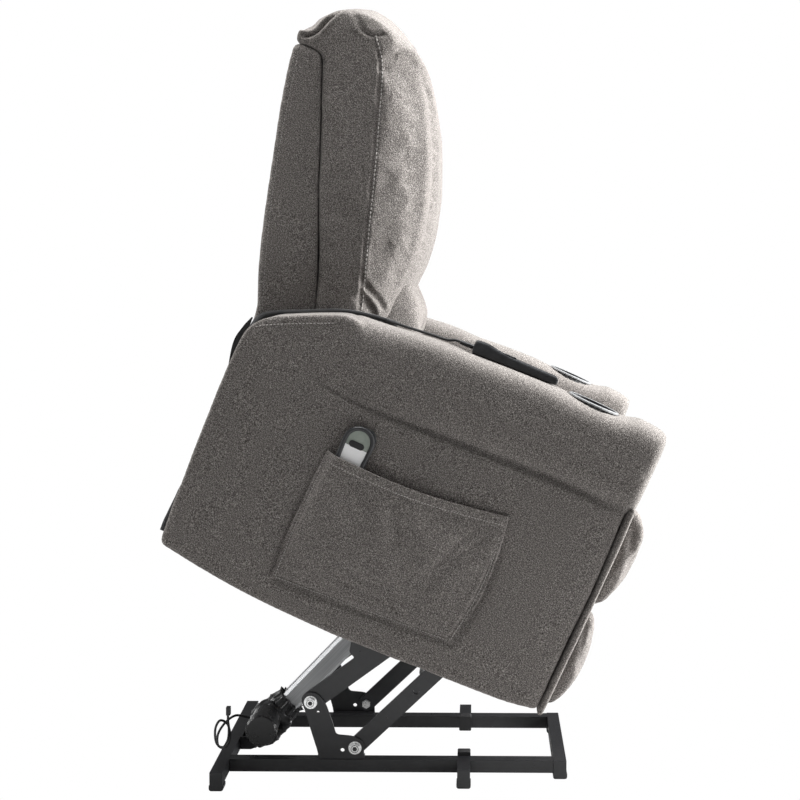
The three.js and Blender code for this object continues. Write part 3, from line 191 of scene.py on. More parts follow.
# ---- materials
class Finish:
    """A material made of nodes round one Principled shader."""

    def __init__(self, name, **sockets):
        self.material = bpy.data.materials.new(name)
        self.material.use_nodes = True
        self.tree = self.material.node_tree
        self.shader = self.tree.nodes["Principled BSDF"]
        for socket, value in sockets.items():
            self.shader.inputs[socket.replace("_", " ")].default_value = value
        coordinates = self.tree.nodes.new("ShaderNodeTexCoord")
        self.place = coordinates.outputs["Object"]

    def node(self, kind, **settings):
        made = self.tree.nodes.new("ShaderNode" + kind)
        for key, value in settings.items():
            if key in made.inputs:
                made.inputs[key].default_value = value
            else:
                setattr(made, key, value)
        return made

    def link(self, start, end):
        self.tree.links.new(start, end)
        return self

    def mapped(self, scale=(1, 1, 1), turned=(0, 0, 0)):
        start = self.place
        for socket, value, plain in (("Rotation", turned, (0, 0, 0)), ("Scale", scale, (1, 1, 1))):
            if value != plain:
                mapping = self.node("Mapping")
                mapping.inputs[socket].default_value = value
                self.link(start, mapping.inputs["Vector"])
                start = mapping.outputs[0]
        return start

    def noise(self, scale, detail=2.0, roughness=0.5, at=None):
        made = self.node("TexNoise", Scale=scale, Detail=detail, Roughness=roughness)
        self.link(at or self.place, made.inputs["Vector"])
        return made.outputs["Fac"]

    def cells(self, scale, at):
        made = self.node("TexVoronoi", Scale=scale)
        self.link(at, made.inputs["Vector"])
        return made.outputs["Distance"]

    def ramp(self, value, *stops):
        made = self.node("ValToRGB")
        points = made.color_ramp.elements
        while len(points) < len(stops):
            points.new(0.5)
        for point, (at, colour) in zip(points, stops):
            point.position = at
            point.color = (*colour, 1)
        self.link(value, made.inputs[0])
        return made.outputs[0]

    def feed(self, socket, value):
        """Sets a number or a colour on a socket, or links an output to it."""
        if isinstance(value, (int, float)):
            socket.default_value = value
        elif isinstance(value, tuple):
            socket.default_value = (*value, 1)
        else:
            self.link(value, socket)

    def mix(self, share, a, b):
        made = self.node("Mix", data_type="RGBA")
        for i, value in ((0, share), (6, a), (7, b)):
            self.feed(made.inputs[i], value)
        return made.outputs[2]

    def range(self, value, low, high, start=0.0, end=1.0):
        made = self.node("MapRange")
        for i, number in enumerate((value, start, end, low, high)):
            self.feed(made.inputs[i], number)
        return made.outputs[0]

    def sum(self, a, b, how="ADD"):
        made = self.node("Math", operation=how)
        for i, value in enumerate((a, b)):
            self.feed(made.inputs[i], value)
        return made.outputs[0]

    def bump(self, height, strength, distance):
        made = self.node("Bump", Strength=strength, Distance=distance)
        self.link(height, made.inputs["Height"])
        self.link(made.outputs[0], self.shader.inputs["Normal"])
        return self

    def colour(self, value):
        return self.link(value, self.shader.inputs["Base Color"])

    def rough(self, value):
        return self.link(value, self.shader.inputs["Roughness"])


def chenille():
    """Grey-brown heathered chenille: short loops, dark gaps and scattered pale threads."""
    f = Finish("grey_chenille", Sheen_Weight=0.14, Sheen_Roughness=0.5, Roughness=0.95)
    f.shader.inputs["Sheen Tint"].default_value = (0.93, 0.9, 0.86, 1)
    f.shader.inputs["Specular IOR Level"].default_value = 0.15
    lie = (TILT, 0, 0)
    threads = f.mapped((1, 0.62, 1), lie)
    crossing = f.mapped((1, 1, 0.55), lie)
    loops = f.cells(700, threads)
    fine = f.noise(760, 1, 0.5, threads)
    across = f.noise(880, 1, 0.5, crossing)
    speckle = f.mix(0.5, fine, across)
    broad = f.noise(9, 3, 0.55)
    heather = f.ramp(
        speckle,
        (0.36, (0.028, 0.0255, 0.024)),
        (0.46, (0.098, 0.089, 0.083)),
        (0.54, (0.158, 0.145, 0.136)),
        (0.64, (0.36, 0.335, 0.315)),
    )
    patches = f.mix(f.range(broad, 0.0, 0.5), heather, (0.095, 0.088, 0.082))
    f.colour(f.mix(0.25, heather, patches))
    f.bump(f.sum(f.sum(loops, -0.9, "MULTIPLY"), speckle), 0.6, 0.001)
    return f.material


def powder_coat():
    f = Finish("powder_coat", Roughness=0.42)
    grain = f.noise(1500, 2, 0.6)
    worn = f.noise(38, 4, 0.65)
    f.colour(f.ramp(worn, (0.3, (0.010, 0.0102, 0.0115)), (0.75, (0.019, 0.0195, 0.0215))))
    f.rough(f.range(worn, 0.27, 0.42, 0.3, 0.75))
    f.bump(grain, 0.25, 0.0004)
    return f.material


def zinc_plate():
    f = Finish("zinc_plate", Metallic=1.0, Roughness=0.3)
    cloud = f.noise(260, 3, 0.6)
    f.colour(f.ramp(cloud, (0.3, (0.7, 0.71, 0.72)), (0.7, (0.9, 0.9, 0.89))))
    f.rough(f.range(cloud, 0.2, 0.42, 0.3, 0.7))
    f.bump(f.noise(1400, 2, 0.5), 0.12, 0.0003)
    return f.material


def drawn_aluminium():
    """Extruded aluminium with lines along the actuator."""
    f = Finish("drawn_aluminium", Metallic=0.5, Roughness=0.5)
    lines = f.noise(1, 2, 0.5, f.mapped((420, 420, 6), (radians(-44), 0, 0)))
    f.colour(f.ramp(lines, (0.3, (0.33, 0.338, 0.345)), (0.7, (0.5, 0.507, 0.515))))
    f.rough(f.range(lines, 0.42, 0.56, 0.3, 0.7))
    f.bump(lines, 0.18, 0.0004)
    return f.material


def grained_plastic(name, dark, light, rough, grain=1700, deep=0.3):
    f = Finish(name, Roughness=rough)
    cloud = f.noise(45, 3, 0.6)
    f.colour(f.ramp(cloud, (0.3, dark), (0.75, light)))
    f.rough(f.range(cloud, rough - 0.07, rough + 0.08, 0.3, 0.7))
    f.bump(f.noise(grain, 2, 0.5), deep, 0.0003)
    return f.material


def cup_finish(side, middle_of):
    """Satin silver rim over a black cup: the black starts inside the lip."""
    f = Finish("cup_" + side, Roughness=0.3, Metallic=0.15)
    distance = f.node("VectorMath", operation="DISTANCE")
    f.link(f.place, distance.inputs[0])
    distance.inputs[1].default_value = middle_of
    outside = f.range(distance.outputs["Value"], 0.0, 1.0, 0.0439, 0.0446)
    grain = f.noise(900, 2, 0.5)
    silver = f.ramp(grain, (0.3, (0.22, 0.225, 0.23)), (0.7, (0.32, 0.325, 0.33)))
    f.colour(f.mix(outside, (0.012, 0.012, 0.013), silver))
    f.rough(f.range(outside, 0.55, 0.28))
    f.bump(grain, 0.08, 0.0002)
    return f.material


def plywood():
    f = Finish("plywood", Roughness=0.65)
    rings = f.noise(1, 4, 0.6, f.mapped((14, 90, 90)))
    f.colour(f.ramp(rings, (0.3, (0.33, 0.2, 0.1)), (0.55, (0.5, 0.34, 0.19)), (0.75, (0.62, 0.45, 0.28))))
    f.bump(rings, 0.2, 0.0006)
    return f.material


def black_lining_and_gap_shade():
    f = Finish("black_lining_and_gap_shade", Roughness=0.85, Sheen_Weight=0.2)
    fibres = f.cells(900, f.mapped((1, 1, 0.4)))
    cloud = f.noise(60, 3, 0.6)
    f.colour(f.ramp(cloud, (0.3, (0.008, 0.008, 0.009)), (0.75, (0.02, 0.02, 0.021))))
    f.bump(f.sum(fibres, cloud), 0.35, 0.0007)
    return f.material


def thread():
    f = Finish("pale_thread", Roughness=0.7, Sheen_Weight=0.3)
    twist = f.noise(2200, 1, 0.5)
    f.colour(f.ramp(twist, (0.35, (0.24, 0.225, 0.21)), (0.65, (0.45, 0.43, 0.41))))
    f.bump(twist, 0.4, 0.0003)
    return f.material


CLOTH = chenille()
STEEL = powder_coat()
ZINC = zinc_plate()
ALUMINIUM = drawn_aluminium()
# Black plastic; it also colours the pieces that are painted shade in the bolt sockets and the front link's
# hole.
BLACK_PLASTIC_AND_SHADE = grained_plastic("black_plastic", (0.012, 0.0125, 0.014), (0.022, 0.023, 0.025), 0.36)
MOTOR_CASE = grained_plastic("motor_case", (0.008, 0.008, 0.0085), (0.014, 0.014, 0.015), 0.3, deep=0.04)
BAG = grained_plastic("cover_bag", (0.009, 0.009, 0.01), (0.017, 0.017, 0.018), 0.34, 500, 0.1)
RUBBER = grained_plastic("black_rubber", (0.01, 0.01, 0.011), (0.02, 0.02, 0.021), 0.68, 900)
GREY_PLASTIC = grained_plastic("grey_plate", (0.2, 0.23, 0.2), (0.3, 0.33, 0.29), 0.45)
WHITE_PLASTIC = grained_plastic("white_plate", (0.9, 0.9, 0.9), (0.97, 0.97, 0.97), 0.35)
LIGHT_STEEL = grained_plastic("grey_bar", (0.2, 0.205, 0.21), (0.3, 0.305, 0.31), 0.5)
WOOD = plywood()
# Black non-woven lining; it also colours the strip that is painted shade in the gap between the arm and the
# backrest.
LINING_AND_GAP_SHADE = black_lining_and_gap_shade()
THREAD = thread()
def round_edges(o, width, segments):
    edge = o.modifiers.new("edge", "BEVEL")
    edge.width = width
    edge.segments = segments
    return edge


def finish_node(name, material, bevel=0.0):
    """Gives a kept CAD node its material, and a small rounded edge where it asks for one."""
    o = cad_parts[name]
    for slot in o.material_slots:
        slot.material = material
    if not o.material_slots:
        o.data.materials.append(material)
    if bevel:
        edge = round_edges(o, bevel, 2)
        edge.limit_method = "ANGLE"
        edge.angle_limit = radians(40)


# ---- mesh helpers
def add_mesh(name, verts, faces, material, body, slot, smooth=True):
    """A new piece from points in metres, riding on a body."""
    mesh = bpy.data.meshes.new(name)
    mesh.from_pydata([tuple(v) for v in verts], [], faces)
    mesh.update()
    o = put_in_scene(name, mesh)
    mesh.materials.append(material)
    fix = bmesh.new()
    fix.from_mesh(mesh)
    bmesh.ops.recalc_face_normals(fix, faces=fix.faces)
    fix.to_mesh(mesh)
    fix.free()
    mesh.polygons.foreach_set("use_smooth", [smooth] * len(mesh.polygons))
    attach(o, body)
    return o


def points_of(o):
    co = np.zeros(len(o.data.vertices) * 3)
    o.data.vertices.foreach_get("co", co)
    return co.reshape(-1, 3)


def normals_of(o):
    n = np.zeros(len(o.data.vertices) * 3, np.float32)
    o.data.vertex_normals.foreach_get("vector", n)
    return n.reshape(-1, 3).astype(float)


def put_points(o, co):
    o.data.vertices.foreach_set("co", co.astype(np.float32).ravel())
    o.data.update()


def modify(o, kind, **settings):
    """Adds a modifier and keeps its result as the piece's mesh."""
    m = o.modifiers.new(kind.lower(), kind)
    for key, value in settings.items():
        setattr(m, key, value)
    bpy.context.view_layer.update()
    seen = o.evaluated_get(bpy.context.evaluated_depsgraph_get())
    made = bpy.data.meshes.new_from_object(seen)
    old = o.data
    o.modifiers.clear()
    o.data = made
    bpy.data.meshes.remove(old)
    o.data.polygons.foreach_set("use_smooth", [True] * len(o.data.polygons))


def remesh(o, voxel, relax):
    """Even quads all over, with the edges eased."""
    modify(o, "REMESH", mode="VOXEL", voxel_size=voxel)
    modify(o, "SMOOTH", factor=0.5, iterations=relax)


def smooth_curve(points, steps, closed=False):
    """Points of a smooth curve through the given ones."""
    pts = np.array(points, float)
    n = len(pts)
    out = []
    for i in range(n if closed else n - 1):
        a = pts[(i - 1) % n] if closed or i > 0 else 2 * pts[0] - pts[1]
        b, c = pts[i], pts[(i + 1) % n]
        d = pts[(i + 2) % n] if closed or i + 2 < n else 2 * pts[-1] - pts[-2]
        square, cube = 2 * a - 5 * b + 4 * c - d, 3 * b - a - 3 * c + d
        for k in range(steps):
            t = k / steps
            out.append(0.5 * (2 * b + (c - a) * t + square * t * t + cube * t**3))
    if not closed:
        out.append(pts[-1])
    return np.array(out)


def rounded(corners, steps=4):
    """A closed outline with each corner (a, b, radius) rounded."""
    out = []
    n = len(corners)
    for i, (a, b, r) in enumerate(corners):
        here = np.array([a, b], float)
        before = np.array(corners[i - 1][:2], float) - here
        after = np.array(corners[(i + 1) % n][:2], float) - here
        lb, la = np.linalg.norm(before), np.linalg.norm(after)
        cut = min(r, lb / 2.1, la / 2.1)
        start, end = here + before / lb * cut, here + after / la * cut
        for k in range(steps + 1):
            t = k / steps
            out.append((1 - t) ** 2 * start + 2 * t * (1 - t) * here + t * t * end)
    return np.array(out)


def loft(rings):
    """Vertices and faces of a closed skin through rings of equal length."""
    n = len(rings[0])
    verts = [p for ring in rings for p in ring]
    faces = [tuple(range(n - 1, -1, -1)), tuple(range((len(rings) - 1) * n, len(rings) * n))]
    for i in range(len(rings) - 1):
        for k in range(n):
            j = (k + 1) % n
            faces.append((i * n + k, i * n + j, (i + 1) * n + j, (i + 1) * n + k))
    return verts, faces


def prism(name, outline, low, high, frame_of, material, body, slot):
    """An outline drawn across the chair from x = low to x = high."""
    rings = [place(frame_of, [(x, a, b) for a, b in outline]) for x in (low, high)]
    return add_mesh(name, *loft(rings), material, body, slot, smooth=False)


def distance_to(co, line):
    """Distance of each point from a line of points, and how far along it the nearest point lies."""
    best = np.full(len(co), 1e9)
    along = np.zeros(len(co))
    run = 0.0
    for a, b in zip(line[:-1], line[1:]):
        d = b - a
        length = np.linalg.norm(d)
        t = np.clip(((co - a) @ d) / (length * length + 1e-12), 0, 1)
        gap = np.linalg.norm(co - (a + t[:, None] * d), axis=1)
        nearer = gap < best
        best[nearer] = gap[nearer]
        along[nearer] = run + t[nearer] * length
        run += length
    return best, along


def carve(o, line, width, depth, lift=0.0):
    """Sinks a seam or fold into a piece along a line in metres, with soft lips beside it."""
    co, n = points_of(o), normals_of(o)
    gap, along = distance_to(co, np.array(line))
    total = sum(np.linalg.norm(b - a) for a, b in zip(line[:-1], line[1:]))
    fade = np.clip(np.minimum(along, total - along) / (0.12 * total + 1e-9), 0, 1)
    dip = depth * np.exp(-((gap / width) ** 2))
    lips = lift * np.exp(-(((gap - 2.2 * width) / (1.3 * width)) ** 2))
    put_points(o, co + n * ((lips - dip) * fade)[:, None])


def ripple(o, scale, height, seed=0.0, mask=None):
    """Gentle unevenness: smooth noise along the normals."""
    co, n = points_of(o), normals_of(o)
    shift = Vector((seed, seed * 0.7, -seed))
    rise = np.array([noise.noise(Vector(p) * scale + shift) for p in co])
    if mask is not None:
        rise = rise * mask(co)
    put_points(o, co + n * (rise * height)[:, None])


CLOTH_PRESSURE, CLOTH_FRAMES = 4.0, 20


def inflate(o, cap, held, grow):
    """Swells a closed piece as cloth under pressure and keeps the result as its mesh."""
    rest = points_of(o)
    group = o.vertex_groups.new(name="held")
    group.add([int(i) for i in np.nonzero(held(rest))[0]], 1.0, "REPLACE")
    cloth = o.modifiers.new("cloth", "CLOTH")
    s = cloth.settings
    s.quality = 4
    s.mass = 0.3
    s.use_pressure = True
    s.uniform_pressure_force = CLOTH_PRESSURE
    s.effector_weights.gravity = 0
    s.shrink_min = -grow
    s.vertex_group_mass = "held"
    cloth.collision_settings.use_self_collision = False
    cloth.point_cache.frame_start = 1
    cloth.point_cache.frame_end = CLOTH_FRAMES
    for f in range(1, CLOTH_FRAMES + 1):
        SCENE.frame_set(f)
    seen = o.evaluated_get(bpy.context.evaluated_depsgraph_get())
    moved = np.zeros(len(rest) * 3)
    seen.data.vertices.foreach_get("co", moved)
    step = moved.reshape(-1, 3) - rest
    length = np.linalg.norm(step, axis=1, keepdims=True)
    step *= np.minimum(1, cap / np.maximum(length, 1e-9))
    o.modifiers.clear()
    o.vertex_groups.clear()
    SCENE.frame_set(1)
    put_points(o, rest + step)


def stuff(o, cap, held, room, to_frame, from_frame, grow=0.0):
    """Swells a pad from where it is held, keeps it inside its room and makes its mesh finer. held and room
    take the points' coordinates in one of the frames."""
    inflate(o, cap, lambda co: held(*to_frame(co).T), grow)
    put_points(o, from_frame(*room(*to_frame(points_of(o)).T)))
    modify(o, "SUBSURF", levels=1, render_levels=1)


def surface_of(o):
    bpy.context.view_layer.update()
    return BVHTree.FromObject(o, bpy.context.evaluated_depsgraph_get())


def found_on(tree, starts, direction):
    """Where rays from the starts meet a surface, each with its normal."""
    hits = [tree.ray_cast(Vector(s), Vector(direction), 0.3)[:2] for s in starts]
    return [(at, normal) for at, normal in hits if at is not None]


def stitches(name, line, normals, body, pitch=6.5, long=4.4, thick=0.55):
    """Sewn thread: short stitches sunk into the cloth along a line in metres."""
    line = [Vector(p) for p in line]
    verts, faces = [], []
    run, target, half = 0.0, pitch * MM / 2, long * MM / 2
    for a, b, normal in zip(line, line[1:], normals):
        length = (b - a).length
        if length < 1e-9:
            continue
        d = (b - a) / length
        up = Vector(normal).normalized()
        side = d.cross(up).normalized()
        while target <= run + length:
            centre = a + d * (target - run)
            rings = []
            for s, swell in ((-half, 0.25), (-half * 0.5, 1), (half * 0.5, 1), (half, 0.25)):
                r = thick * MM * swell
                rings.append([centre + d * s + side * (r * 1.5 * cos(k * pi / 3)) + up * (r * sin(k * pi / 3))
                              for k in range(6)])
            skin, sides = loft(rings)
            faces += [tuple(len(verts) + i for i in face) for face in sides]
            verts += skin
            target += pitch * MM
        run += length
    add_mesh(name, verts, faces, THREAD, body, "cloth")


def sewn_line(name, o, starts, direction, body, inward=0.2, **options):
    """Stitches on a piece, found by looking from each start along one direction."""
    found = found_on(surface_of(o), starts, direction)
    stitches(name, [p + n * (inward * MM) for p, n in found], [n for _, n in found], body, **options)


def arc(a, b, radius, start, end, count):
    return [(a + radius * cos(t), b + radius * sin(t)) for t in np.linspace(start, end, count)]


def tube(name, centre, radius, material, body, slot, sides):
    """A round tube along points in metres."""
    pts = [Vector(p) for p in centre]
    rings = []
    up = Vector((0, 0, 1))
    for before, p, after in zip(pts[:1] + pts, pts, pts[1:] + pts[-1:]):
        d = (after - before).normalized()
        side = d.cross(up)
        side = side.normalized() if side.length > 1e-6 else Vector((1, 0, 0))
        up = side.cross(d).normalized()
        turns = [2 * pi * k / sides for k in range(sides)]
        rings.append([p + side * (radius * cos(t)) + up * (radius * sin(t)) for t in turns])
    return add_mesh(name, *loft(rings), material, body, slot)


# ---- cords
PAD_TOP = ((163, 517), (350, 536), (535, 545), (563, 542), (666, 542), (705, 553), (745, 551))


def pad_top(u):
    """Height of the arm pad's top over u."""
    if u <= PAD_TOP[0][0]:
        return PAD_TOP[0][1]
    for (u0, v0), (u1, v1) in zip(PAD_TOP, PAD_TOP[1:]):
        if u <= u1:
            t = (u - u0) / (u1 - u0)
            return v0 + (v1 - v0) * t * t * (3 - 2 * t)
    return PAD_TOP[-1][1]


CORD_RADIUS = 2.6
HANDSET_FROM, HANDSET_TO, HANDSET_THICK, HANDSET_OVER = 371, 537, 20, 1.2
HANDSET_X = -ARM_MID + 4
HANDSET_SLOPE = atan2(pad_top(HANDSET_TO) - pad_top(HANDSET_FROM), HANDSET_TO - HANDSET_FROM)
STRAIN, GAP = 26, 0.3
DECK_FROM = 215


def from_handset(x, s, h):
    """A point given along and above the handset's underside, s forward from its rear end."""
    start = HANDSET_FROM, pad_top(HANDSET_FROM) + HANDSET_OVER
    return from_chair(HANDSET_X + x, *turn(s, h, -HANDSET_SLOPE, start))


def handset_cord_points():
    start = [from_handset(0.0, -(STRAIN + GAP + d), HANDSET_THICK / 2) for d in (0, 3 * CORD_RADIUS)]
    down = -(ARM_IN - 5)
    lie = CORD_RADIUS + 1.6
    rest = [
        (HANDSET_X + 4, 322, pad_top(322) + 5),
        (HANDSET_X + 12, 296, pad_top(296) + lie),
        (-286, 250, pad_top(250) + lie),
        (-266, 212, pad_top(212) + lie),
        (down - 3, 192, pad_top(192) + CORD_RADIUS - 1),
        (down, 184, pad_top(184) - 20),
        (down, 178, 430), (down, 179, 360), (down, 181, 310), (down, 190, 284), (down, 204, 274),
        (down, DECK_FROM - GAP, 273),
    ]
    return np.array(start + list(place(from_chair, rest)))


ACTUATOR_PIVOT = (-490, 24)  # forward and up
LEAD_RADIUS = 2.4
LEAD_POINTS = (
    (-62, -8.4, 90.8), (-64, 2, 94), (-78, 20, 101), (-97, 38, 92), (-112, 50, 72), (-124, 46, 54),
    (-112, 32, 50), (-96, 28, 66), (-92, 34, 88), (-106, 46, 100), (-126, 52, 90), (-138, 48, 66),
    (-128, 38, 52), (-112, 30, 62), (-104, 29, 84), (-107, 30, 100), (-107, 30, 110),
)  # x, back from the actuator's base pivot, up


def centripetal(points, steps):
    """The centripetal curve that the model's own cords follow, as points."""
    pts = [Vector(p) for p in points]
    ends = [2 * pts[0] - pts[1]] + pts + [2 * pts[-1] - pts[-2]]
    out = []
    for i in range(1, len(ends) - 2):
        p0, p1, p2, p3 = ends[i - 1 : i + 3]
        d0, d1, d2 = (max((b - a).length, 1e-6) ** 0.5 for a, b in ((p0, p1), (p1, p2), (p2, p3)))
        t1 = ((p1 - p0) / d0 - (p2 - p0) / (d0 + d1) + (p2 - p1) / d1) * d1
        t2 = ((p2 - p1) / d1 - (p3 - p1) / (d1 + d2) + (p3 - p2) / d2) * d1
        for k in range(steps):
            t = k / steps
            a, b = 2 * t**3 - 3 * t**2 + 1, t**3 - 2 * t**2 + t
            c, d = -2 * t**3 + 3 * t**2, t**3 - t**2
            out.append(p1 * a + t1 * b + p2 * c + t2 * d)
    out.append(pts[-1])
    return out


handset_line = centripetal(handset_cord_points(), 8)
handset_lead = tube("handset_lead", handset_line, CORD_RADIUS * MM, RUBBER, "chair_body", "rubber", 12)
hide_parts("handset_cord")

lead_path = [(x, ACTUATOR_PIVOT[0] - back, up) for x, back, up in LEAD_POINTS]
lead_line = centripetal(place(from_base, lead_path), 8)
motor_loops = tube("motor_loops", lead_line, LEAD_RADIUS * MM, RUBBER, "base", "rubber", 12)
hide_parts("motor_lead")


# ---- kept steel, plastic and wood
CUP_U, CUP_HIGH = 614, 545
FINISHES = (
    (STEEL, 0.0012, "base_rear_tube base_front_tube base_rail_* side_support_*"),
    (STEEL, 0.0, "actuator_bracket rear_link_crossbar chassis_cross_tube"),
    (STEEL, 0.0, "footrest_swing_frame footrest_carry_frame"),
    (STEEL, 0.0005, "pivot_bracket_* rear_link_* front_link_* chassis_plate_*"),
    (ZINC, 0.0, "actuator_rod"),
    (ZINC, 0.0006, "pivot_bolt_rear_* pivot_bolt_front_*"),
    (LIGHT_STEEL, 0.001, "front_link_crossbar"),
    (ALUMINIUM, 0.0, "actuator_guide_tube"),
    (MOTOR_CASE, 0.0, "actuator_motor"),
    (BLACK_PLASTIC_AND_SHADE, 0.0004, "lead_connector handset pocket_remote"),
    (BLACK_PLASTIC_AND_SHADE, 0.001, "glide_rear_* glide_front_* glide_side_*"),
    (RUBBER, 0.0003, "handset_button_up handset_button_down"),
    (RUBBER, 0.0015, "stop_block_*"),
    (WOOD, 0.0008, "seat_deck"),
    (LINING_AND_GAP_SHADE, 0.0008, "footrest_board"),
)  # a name with * is there for both sides

for material, bevel, names in FINISHES:
    for name in names.split():
        for side in ("right", "left") if "*" in name else ("",):
            finish_node(name.replace("*", side), material, bevel)
for side, sign in SIDES:
    middle = tuple(spot(from_chair, sign * ARM_MID, CUP_U, CUP_HIGH))
    finish_node("cup_holder_" + side, cup_finish(side, middle))


# ---- arms
ARM_OUTLINE = (
    (-2, -3, 8), (-7, 45, 40), (-12, 128, 60), (-17, 244, 60), (-19, 360, 34), (-16, 412, 22), (-4, 435, 20),
    (16, 453, 20), (70, 481, 40), (136, 510, 20), (172, 510, 14), (172, 386, 10), (301, 387, 40),
    (399, 393, 40), (499, 398, 40), (643, 404, 40), (740, 392, 8), (743, 290, 40), (744, 211, 40),
    (741, 110, 40), (741, 0, 9), (684, -11, 30), (567, -17, 60), (450, -23, 60), (345, -27, 60),
    (256, -26, 60), (167, -23, 60), (70, -15, 40),
)  # (u, v) of each corner and its radius
ARM_CREASE = (
    (112, 392), (150, 382), (213, 376), (301, 380), (399, 386), (499, 391), (643, 397), (716, 390),
    (746, 386),
)
ARM_REAR = ((6, 30), (-3, 210), (-9, 390), (4, 430), (30, 448))
ARM_SEWN = ((-2, 424), (18, 437), (70, 463), (128, 490))
# Top and lower edge (u, v) of the black strip that is painted shade in the gap between the arm and the
# backrest.
GAP_SHADE_TOP = ((-24, 340), (-31, 372), (-29, 404), (-14, 442), (60, 481), (120, 509), (176, 523), (224, 529))
GAP_SHADE_BELOW = ((-8, 330), (-10, 372), (-6, 412), (4, 440), (62, 468), (124, 500), (176, 514), (226, 519))
ARM_WIDE = (ARM_OUT - ARM_IN) / 2
ROLL_OUT = 10
WELL_RADIUS, WELL_DEEP = 0.0468, 0.13


def ease(t):
    t = np.clip(t, 0, 1)
    return t * t * (3 - 2 * t)


def squarish(count, across, upward):
    """Points round a circle that two powers pull towards a square."""
    for k in range(count):
        c, s = cos(2 * pi * k / count), sin(2 * pi * k / count)
        yield copysign(abs(c) ** across, c), copysign(abs(s) ** upward, s)


def roll_rings(sign):
    """The padded roll on top of the arm: flush with the panel behind, fuller and blunt in front."""
    rings = []
    stations = [(u, 1, 1) for u in (96, 130, *range(160, 730, 26))]
    stations += [(738, 1, 1), (746, 0.99, 0.975), (752, 0.975, 0.91), (756.5, 0.95, 0.8), (759, 0.89, 0.64)]
    start, height = PAD_TOP[0]
    for u, scale, narrow in stations:
        top = pad_top(u) if u > start else height - (start - u) * 0.42
        crease = np.interp(u, *np.array(ARM_CREASE).T)
        mid, half = (top + crease) / 2, (top - crease) / 2 * scale
        wide = ARM_WIDE - 1.6
        full = wide + ROLL_OUT * float(ease((u - 110) / 260))
        rings.append(place(from_chair, [
            (sign * (ARM_MID + c * (full if c > 0 else wide) * narrow), u, mid + s * half)
            for c, s in squarish(44, 0.5, 0.46)
        ]))
    return rings


def arm(name, sign):
    """The upholstered arm in one skin: side panel, crease and padded roll with its cup well."""
    roll = add_mesh("roll_" + name, *loft(roll_rings(sign)), CLOTH, "chair_body", "cloth")
    bpy.ops.mesh.primitive_cylinder_add(radius=WELL_RADIUS, depth=WELL_DEEP, vertices=48)
    well = bpy.context.object
    well.rotation_euler = (TILT, 0, 0)
    well.location = spot(from_chair, sign * ARM_MID, CUP_U, pad_top(CUP_U) - 9)
    bpy.context.view_layer.update()
    modify(roll, "BOOLEAN", object=well, operation="DIFFERENCE")
    bpy.data.objects.remove(well)
    low, high = sorted((sign * (ARM_IN + 0.6), sign * (ARM_OUT - 1.6)))
    o = prism("arm_" + name, rounded(ARM_OUTLINE), low, high, from_chair, CLOTH, "chair_body", "cloth")
    both = bmesh.new()
    both.from_mesh(o.data)
    both.from_mesh(roll.data)
    both.to_mesh(o.data)
    both.free()
    bpy.data.objects.remove(roll)
    remesh(o, 0.0052, 5)
    local = to_chair(points_of(o))
    x, u, v = local.T
    edge = np.minimum.reduce([u + 16, 750 - u, v + 10, 400 - v + np.clip(u, 0, 300) * 0.3])
    full = 1 - np.exp(-np.clip(edge, 0, None) / 45)
    outward = np.clip(normals_of(o)[:, 0] * sign, 0, 1)
    local[:, 0] += sign * 2.6 * full * outward
    put_points(o, from_chair(*local.T))

    def off_cup(co):
        return np.clip((np.abs(to_chair(co)[:, 1] - CUP_U) - 62) / 30, 0, 1)

    ripple(o, 6.0, 0.0022, 3.0 * sign, off_cup)
    ripple(o, 16.0, 0.0009, 7.0 * sign, off_cup)
    for line, out, *shape in ((ARM_CREASE, 1, 0.0065, 0.0062, 0.0012), (ARM_REAR, -1, 0.0028, 0.0016, 0.0004)):
        groove = [(sign * (ARM_OUT + out), u, v) for u, v in line]
        carve(o, smooth_curve(place(from_chair, groove), 6), *shape)
    dart = [(sign * (ARM_OUT + 6), u, 470 + (u - 742) * 0.2) for u in (736, 744, 753)]
    carve(o, place(from_chair, dart), 0.003, 0.0025)
    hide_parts("arm_box_" + name, "arm_pad_" + name)
    starts = place(from_chair, [(sign * (ARM_OUT + 60), u, v) for u, v in smooth_curve(ARM_SEWN, 8)])
    sewn_line("arm_stitch_" + name, o, starts, (-sign, 0, 0), "chair_body")


def arm_gap_shade(name, sign):
    """A thin black strip on the arm's inner top edge: painted shade for the dark gap between the arm and the
    backrest.
    """
    near, far = sign * (ARM_IN + 2), sign * (ARM_IN + 9)
    rings = [place(from_chair, [(near, *top), (far, *top), (far, *low), (near, *low)])
             for top, low in zip(smooth_curve(GAP_SHADE_TOP, 6), smooth_curve(GAP_SHADE_BELOW, 6))]
    add_mesh("arm_gap_shade_" + name, *loft(rings), LINING_AND_GAP_SHADE, "chair_body", "lining")


def arm_front(name, sign):
    """The puffed band over the arm's front face, sewn to the box along a deep seam."""
    rings = []
    wide = ARM_WIDE - 0.5
    stations = ((-7, 0.55), (-3, 0.85), (8, 1), (60, 1), (150, 1), (240, 1), (330, 1), (396, 1), (404, 0.8))
    for v, scale in stations:
        centre = 750 + 2.5 * sin(pi * np.clip((v - 20) / 380, 0, 1))
        rings.append(place(from_chair, [(sign * (ARM_MID + c * wide), centre + s * 7.6 * scale, v)
                                        for c, s in squarish(40, 0.34, 0.6)]))
    o = add_mesh("arm_front_" + name, *loft(rings), CLOTH, "chair_body", "cloth")
    remesh(o, 0.003, 1)
    ripple(o, 9.0, 0.0012, 5.0 * sign)


for side, sign in SIDES:
    arm(side, sign)
    arm_front(side, sign)
    # black strip as painted shade in the gap between the arm and the backrest
    arm_gap_shade(side, sign)


